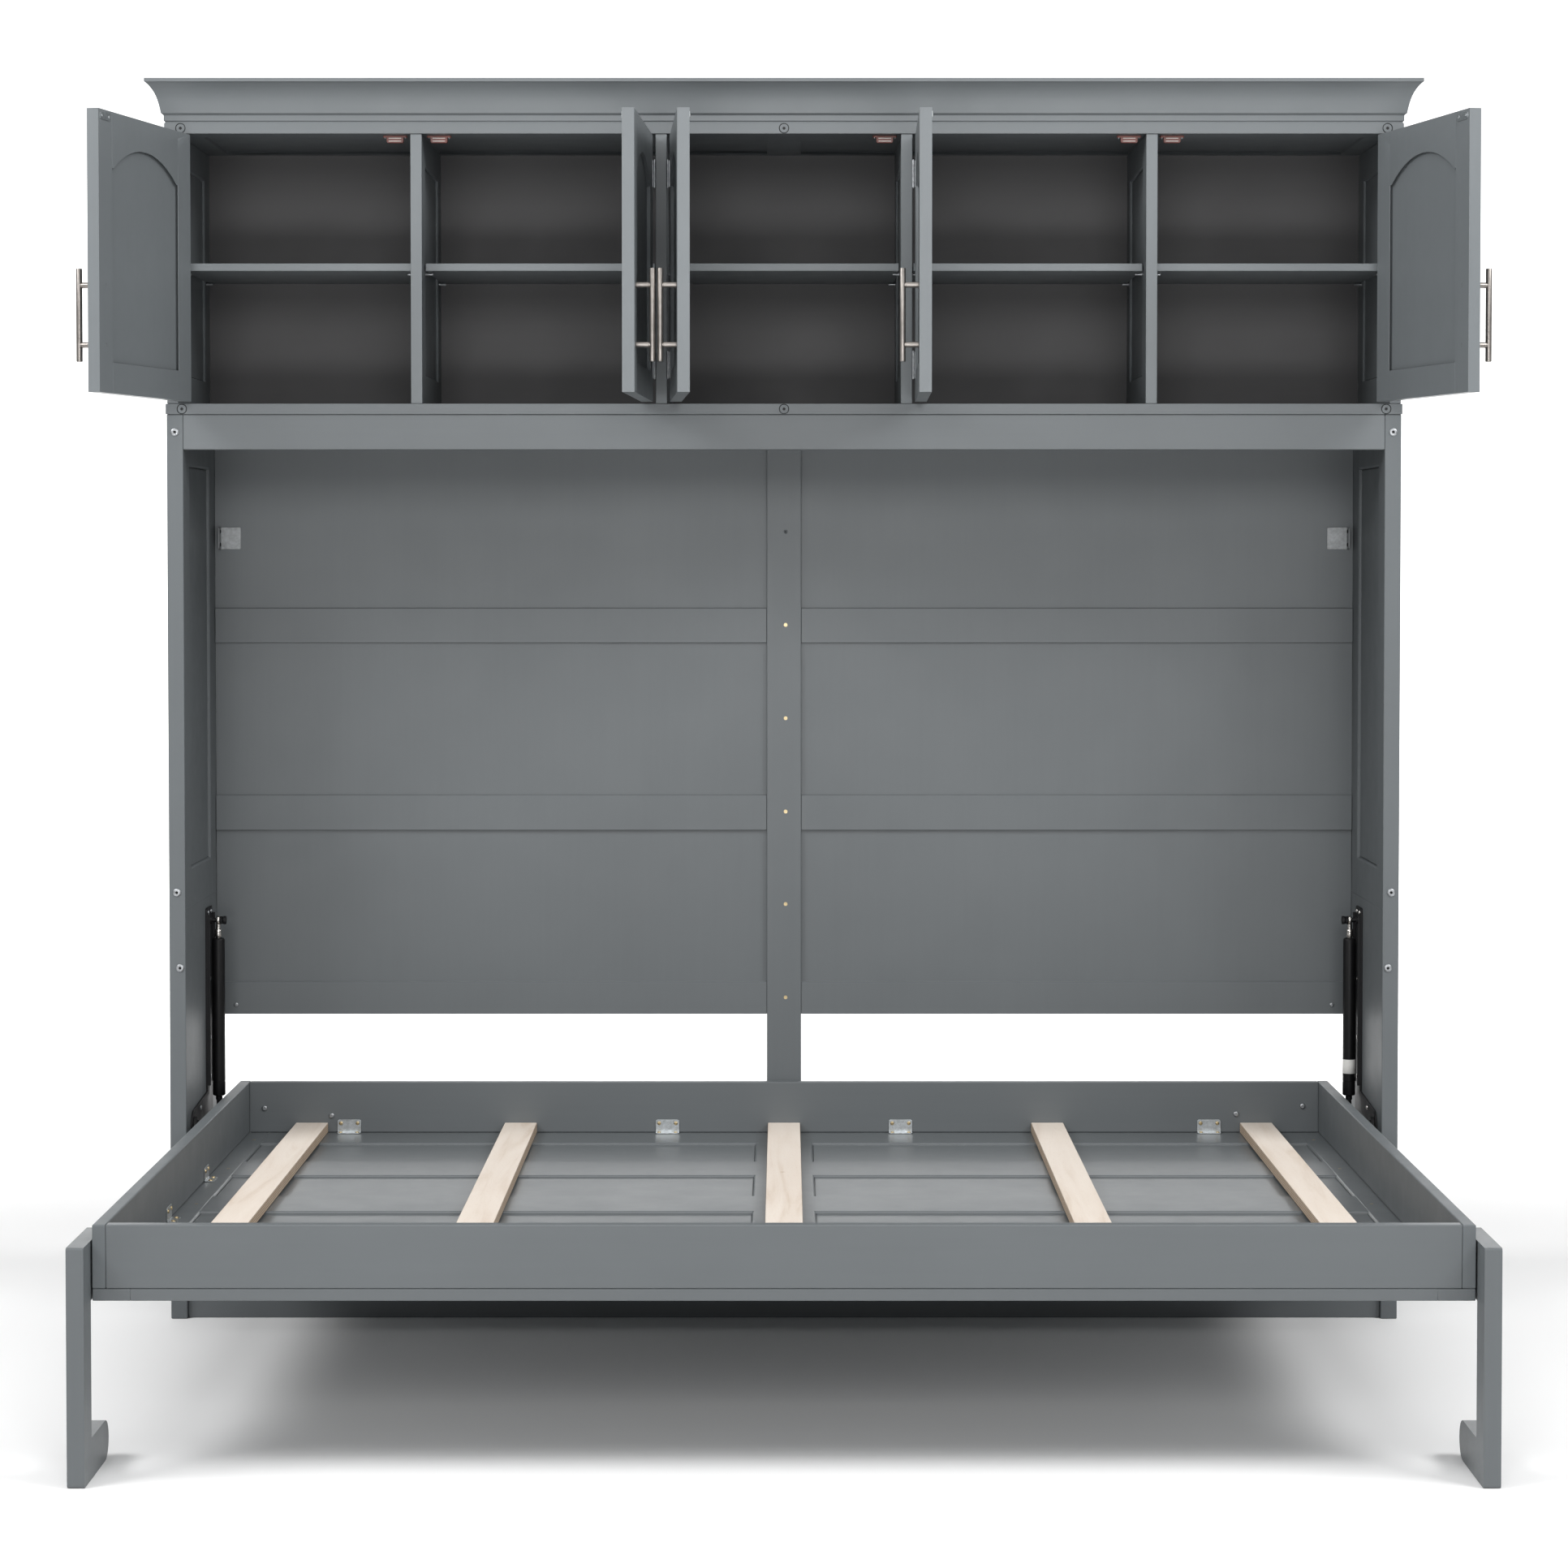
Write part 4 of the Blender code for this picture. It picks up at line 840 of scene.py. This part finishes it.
# corner bolts seen on the side rails' outside faces, and panel screws along the stiles
b = bmesh.new()
for sx in (-1, 1):
    for y in (-1.0895, 0.3215):
        for z in (0.296, 0.341):
            flat_screw(b, at(D(sx * BED_HALF, y, z), (sx, 0, 0)), 0.0040, -0.0002)
emit("bed_corner_screws", b, "bed", ZINC)
b = bmesh.new()
for sx in (-1, 1):
    for y in (0.235, -0.070, -0.41, -0.75):
        flat_screw(b, at(D(sx * 0.945, y - 0.005, BASE_TOP), (0, 0, 1)), 0.0030, -0.0002)
emit("base_panel_screws", b, "bed", BRASS)
# barrel pulls for tilting the bed down are not fitted: the closed face is plain

# ---------------------------------------------------------------------------- legs
for side, sx in (("left", -1), ("right", 1)):
    finish_node(f"leg_{side}", P_Z, 0.0028, 3, 35.0)
    lo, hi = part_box(f"leg_{side}")
    out = lo.x if sx < 0 else hi.x
    b = bmesh.new()
    lathe(b, [(0.0085, -0.0004), (0.0085, 0.0010), (0.0078, 0.0018), (0.0055, 0.0022), (("hex", 0.0030), 0.0022), (("hex", 0.0028), 0.0004)],
          at(D(out, -1.040, 0.300), (sx, 0, 0)), 36)
    emit(f"leg_{side}_pivot_bolt", b, f"leg_{side}", ZINC)

# ------------------------------------------------------------------------- mechanism
STRUT_X, STRUT_Y, STRUT_TOP, STRUT_BOT = 1.0095, 0.247, 0.664, 0.320
for side, sx in (("left", -1), ("right", 1)):
    finish_node(f"strut_bracket_{side}", BLACK, 0.0004, 2, 40.0)
    finish_node(f"bed_arm_{side}", BLACK, 0.0004, 2, 40.0)
    plo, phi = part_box(f"strut_bracket_{side}")
    face = sx * 1.0247
    # folded lips, and the plate's screws
    b = bmesh.new()
    for y in (0.2155, 0.2733):
        block(b, face + sx * 0.0002, face - sx * 0.0052, y + CY, y + 0.0014 + CY, 0.372, 0.676)
    emit(f"strut_bracket_{side}_lips", b, "cabinet", BLACK, bevel=0.0004)
    b = bmesh.new()
    for y, z in ((0.2300, 0.6795), (0.2600, 0.6795), (0.2450, 0.560), (0.2450, 0.455), (0.2450, 0.385), (0.135, 0.345), (0.135, 0.303)):
        hex_button(b, at(D(face, y, z), (-sx, 0, 0)), 0.0040, 0.0018, 0.0016)
    emit(f"strut_bracket_{side}_screws", b, "cabinet", CHROME if side == "right" else ZINC)
    # nut and washer outside the strut's upper eye
    b = bmesh.new()
    mn = at(D(sx * (STRUT_X - 0.0040), STRUT_Y, STRUT_TOP), (-sx, 0, 0))
    lathe(b, [(0.0072, -0.0002), (0.0072, 0.0008), (("hex", 0.0066), 0.0010), (("hex", 0.0068), 0.0036), (("hex", 0.0058), 0.0044), (0.0040, 0.0046), (0.0038, 0.0058)], mn, 36)
    emit(f"strut_top_nut_{side}", b, "cabinet", BLACK)
    # bolt heads holding the arm to the bed rail
    b = bmesh.new()
    for y, z in ((0.115, 0.338), (0.165, 0.309), (0.205, 0.334)):
        lathe(b, [(0.0062, -0.0002), (0.0062, 0.0006), (("hex", 0.0050), 0.0008), (("hex", 0.0052), 0.0030), (("hex", 0.0042), 0.0036)],
              at(D(sx * 0.9883, y, z), (sx, 0, 0)), 36)
    emit(f"bed_arm_{side}_bolts", b, "bed", ZINC)
    # gas strut, turned finely
    axis = Matrix.Translation(D(sx * STRUT_X, STRUT_Y, 0.0))
    b = bmesh.new()
    lathe(b, [(0.0035, 0.408), (0.0047, 0.4095), (0.0047, 0.6335), (0.0048, 0.6340), (0.0063, 0.6350), (0.0065, 0.6362), (0.0065, 0.6455), (0.0058, 0.6475), (0.0044, 0.6488), (0.0042, 0.6560), (0.0040, 0.6570)], axis, 40)
    me = at(D(sx * (STRUT_X + 0.0036), STRUT_Y, STRUT_TOP), (-sx, 0, 0))
    lathe(b, [(0.0060, 0.0), (0.0080, 0.0010), (0.0087, 0.0028), (0.0087, 0.0044), (0.0080, 0.0062), (0.0060, 0.0072)], me, 40)
    ob = emit(f"gas_strut_rod_{side}", b, f"strut_{side}_rod", CHROME)
    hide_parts(f"strut_rod_{side}")
    b = bmesh.new()
    R = 0.01125
    lathe(b, [(0.0060, 0.3500), (R - 0.0022, 0.3502), (R - 0.0006, 0.3512), (R, 0.3530), (R, 0.3748), (R - 0.0005, 0.3752), (R - 0.0005, 0.3760), (R, 0.3764),
              (R, 0.6285), (R - 0.0004, 0.6300), (R - 0.0012, 0.6312), (R - 0.0024, 0.6320), (0.0066, 0.6320), (0.0060, 0.6300), (0.0058, 0.6280)], axis, 48)
    lathe(b, [(0.0046, 0.3270), (0.0048, 0.3275), (0.0048, 0.3420), (0.0060, 0.3430), (0.0060, 0.3505)], axis, 32)
    mz = at(D(sx * (STRUT_X + 0.0055), STRUT_Y, STRUT_BOT), (-sx, 0, 0))
    lathe(b, [(0.0070, 0.0), (0.0088, 0.0010), (0.0092, 0.0035), (0.0092, 0.0075), (0.0088, 0.0100), (0.0070, 0.0110), (0.0042, 0.0110), (0.0040, 0.0150)], mz, 40)
    ob = emit(f"gas_strut_tube_{side}", b, f"strut_{side}_cylinder", TUBE)
    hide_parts(f"strut_cylinder_{side}")
    if side == "right":
        b = bmesh.new()
        lathe(b, [(R + 0.00005, 0.3900), (R + 0.00012, 0.3901), (R + 0.00012, 0.4150), (R + 0.00005, 0.4151)], axis, 48)
        emit("strut_blank_label", b, "strut_right_cylinder", LABEL)

# --------------------------------------------------------------- stage, lights, camera
def stage_plane():
    """Pale floor that sweeps up far behind, so that there is no horizon line."""
    bm = bmesh.new()
    prof = [(-14.0, 0.0), (9.0, 0.0)]
    for k in range(1, 13):
        a = pi / 2 * k / 12
        prof.append((9.0 + 6.0 * math.sin(a), 6.0 * (1 - math.cos(a))))
    prof.append((15.0, 16.0))
    rows = [[bm.verts.new((x, y, z - 0.0004)) for y, z in prof] for x in (-18.0, 18.0)]
    for j in range(len(prof) - 1):
        bm.faces.new((rows[0][j], rows[1][j], rows[1][j + 1], rows[0][j + 1]))
    me = bpy.data.meshes.new("pale_floor")
    bm.to_mesh(me)
    bm.free()
    me.shade_smooth()
    ob = bpy.data.objects.new("pale_floor", me)
    scene.collection.objects.link(ob)
    m, nt, b = nt_new("pale_floor")
    n = noise(nt, coords(nt), 0.6, 2.0, 0.5)
    link(nt, ramp(nt, n, [(0.3, (0.90, 0.90, 0.90)), (0.7, (0.92, 0.92, 0.92))]), b.inputs["Base Color"])
    b.inputs["Roughness"].default_value = 0.9
    b.inputs["Specular IOR Level"].default_value = 0.1
    me.materials.append(m)


stage_plane()

world = bpy.data.worlds.new("studio")
scene.world = world
world.use_nodes = True
world.node_tree.nodes["Background"].inputs["Color"].default_value = (1.0, 1.0, 1.0, 1)
world.node_tree.nodes["Background"].inputs["Strength"].default_value = 0.36


def softbox(name, location, target, size, power, tint=(1, 1, 1)):
    ld = bpy.data.lights.new(name, "AREA")
    ld.shape = "RECTANGLE"
    ld.size, ld.size_y = size
    ld.energy = power
    ld.color = tint
    ob = bpy.data.objects.new(name, ld)
    scene.collection.objects.link(ob)
    ob.location = location
    ob.rotation_euler = (Vector(target) - Vector(location)).to_track_quat("-Z", "Y").to_euler()
    return ob


softbox("overhead", (0.0, -1.4, 4.8), (0.0, -0.3, 0.6), (4.5, 3.0), 90.0)
softbox("front_key", (0.0, -8.0, 3.3), (0.0, 0.0, 1.1), (4.2, 1.8), 188.0)
softbox("high_left", (-3.5, -2.2, 3.8), (0.0, -0.2, 1.0), (2.2, 1.6), 128.0)
softbox("high_right", (3.5, -2.2, 3.8), (0.0, -0.2, 1.0), (2.2, 1.6), 128.0)
low = softbox("hutch_fill", (0.0, -4.2, 0.55), (0.0, 0.1, 2.0), (4.6, 0.5), 8.0)
low.data.spread = math.radians(50)
low.visible_camera = False
# the sweep behind gets its own light, from above and behind the object
softbox("backdrop", (0.0, 4.0, 6.5), (0.0, 13.5, 2.0), (9.0, 2.5), 1900.0)

scene.view_settings.view_transform = "Standard"
scene.view_settings.look = "None"
scene.view_settings.exposure = 0.0
scene.view_settings.gamma = 1.0

cam = bpy.data.cameras.new("camera")
cam.sensor_width = 36.0
cam.lens = 84.45
cam.shift_y = -0.0743
cam.clip_start, cam.clip_end = 0.1, 100.0
co = bpy.data.objects.new("camera", cam)
scene.collection.objects.link(co)
co.location = D(0.0, -6.3007, 1.320)
co.rotation_euler = (math.radians(90.0 - 1.793), 0.0, 0.0)
scene.camera = co
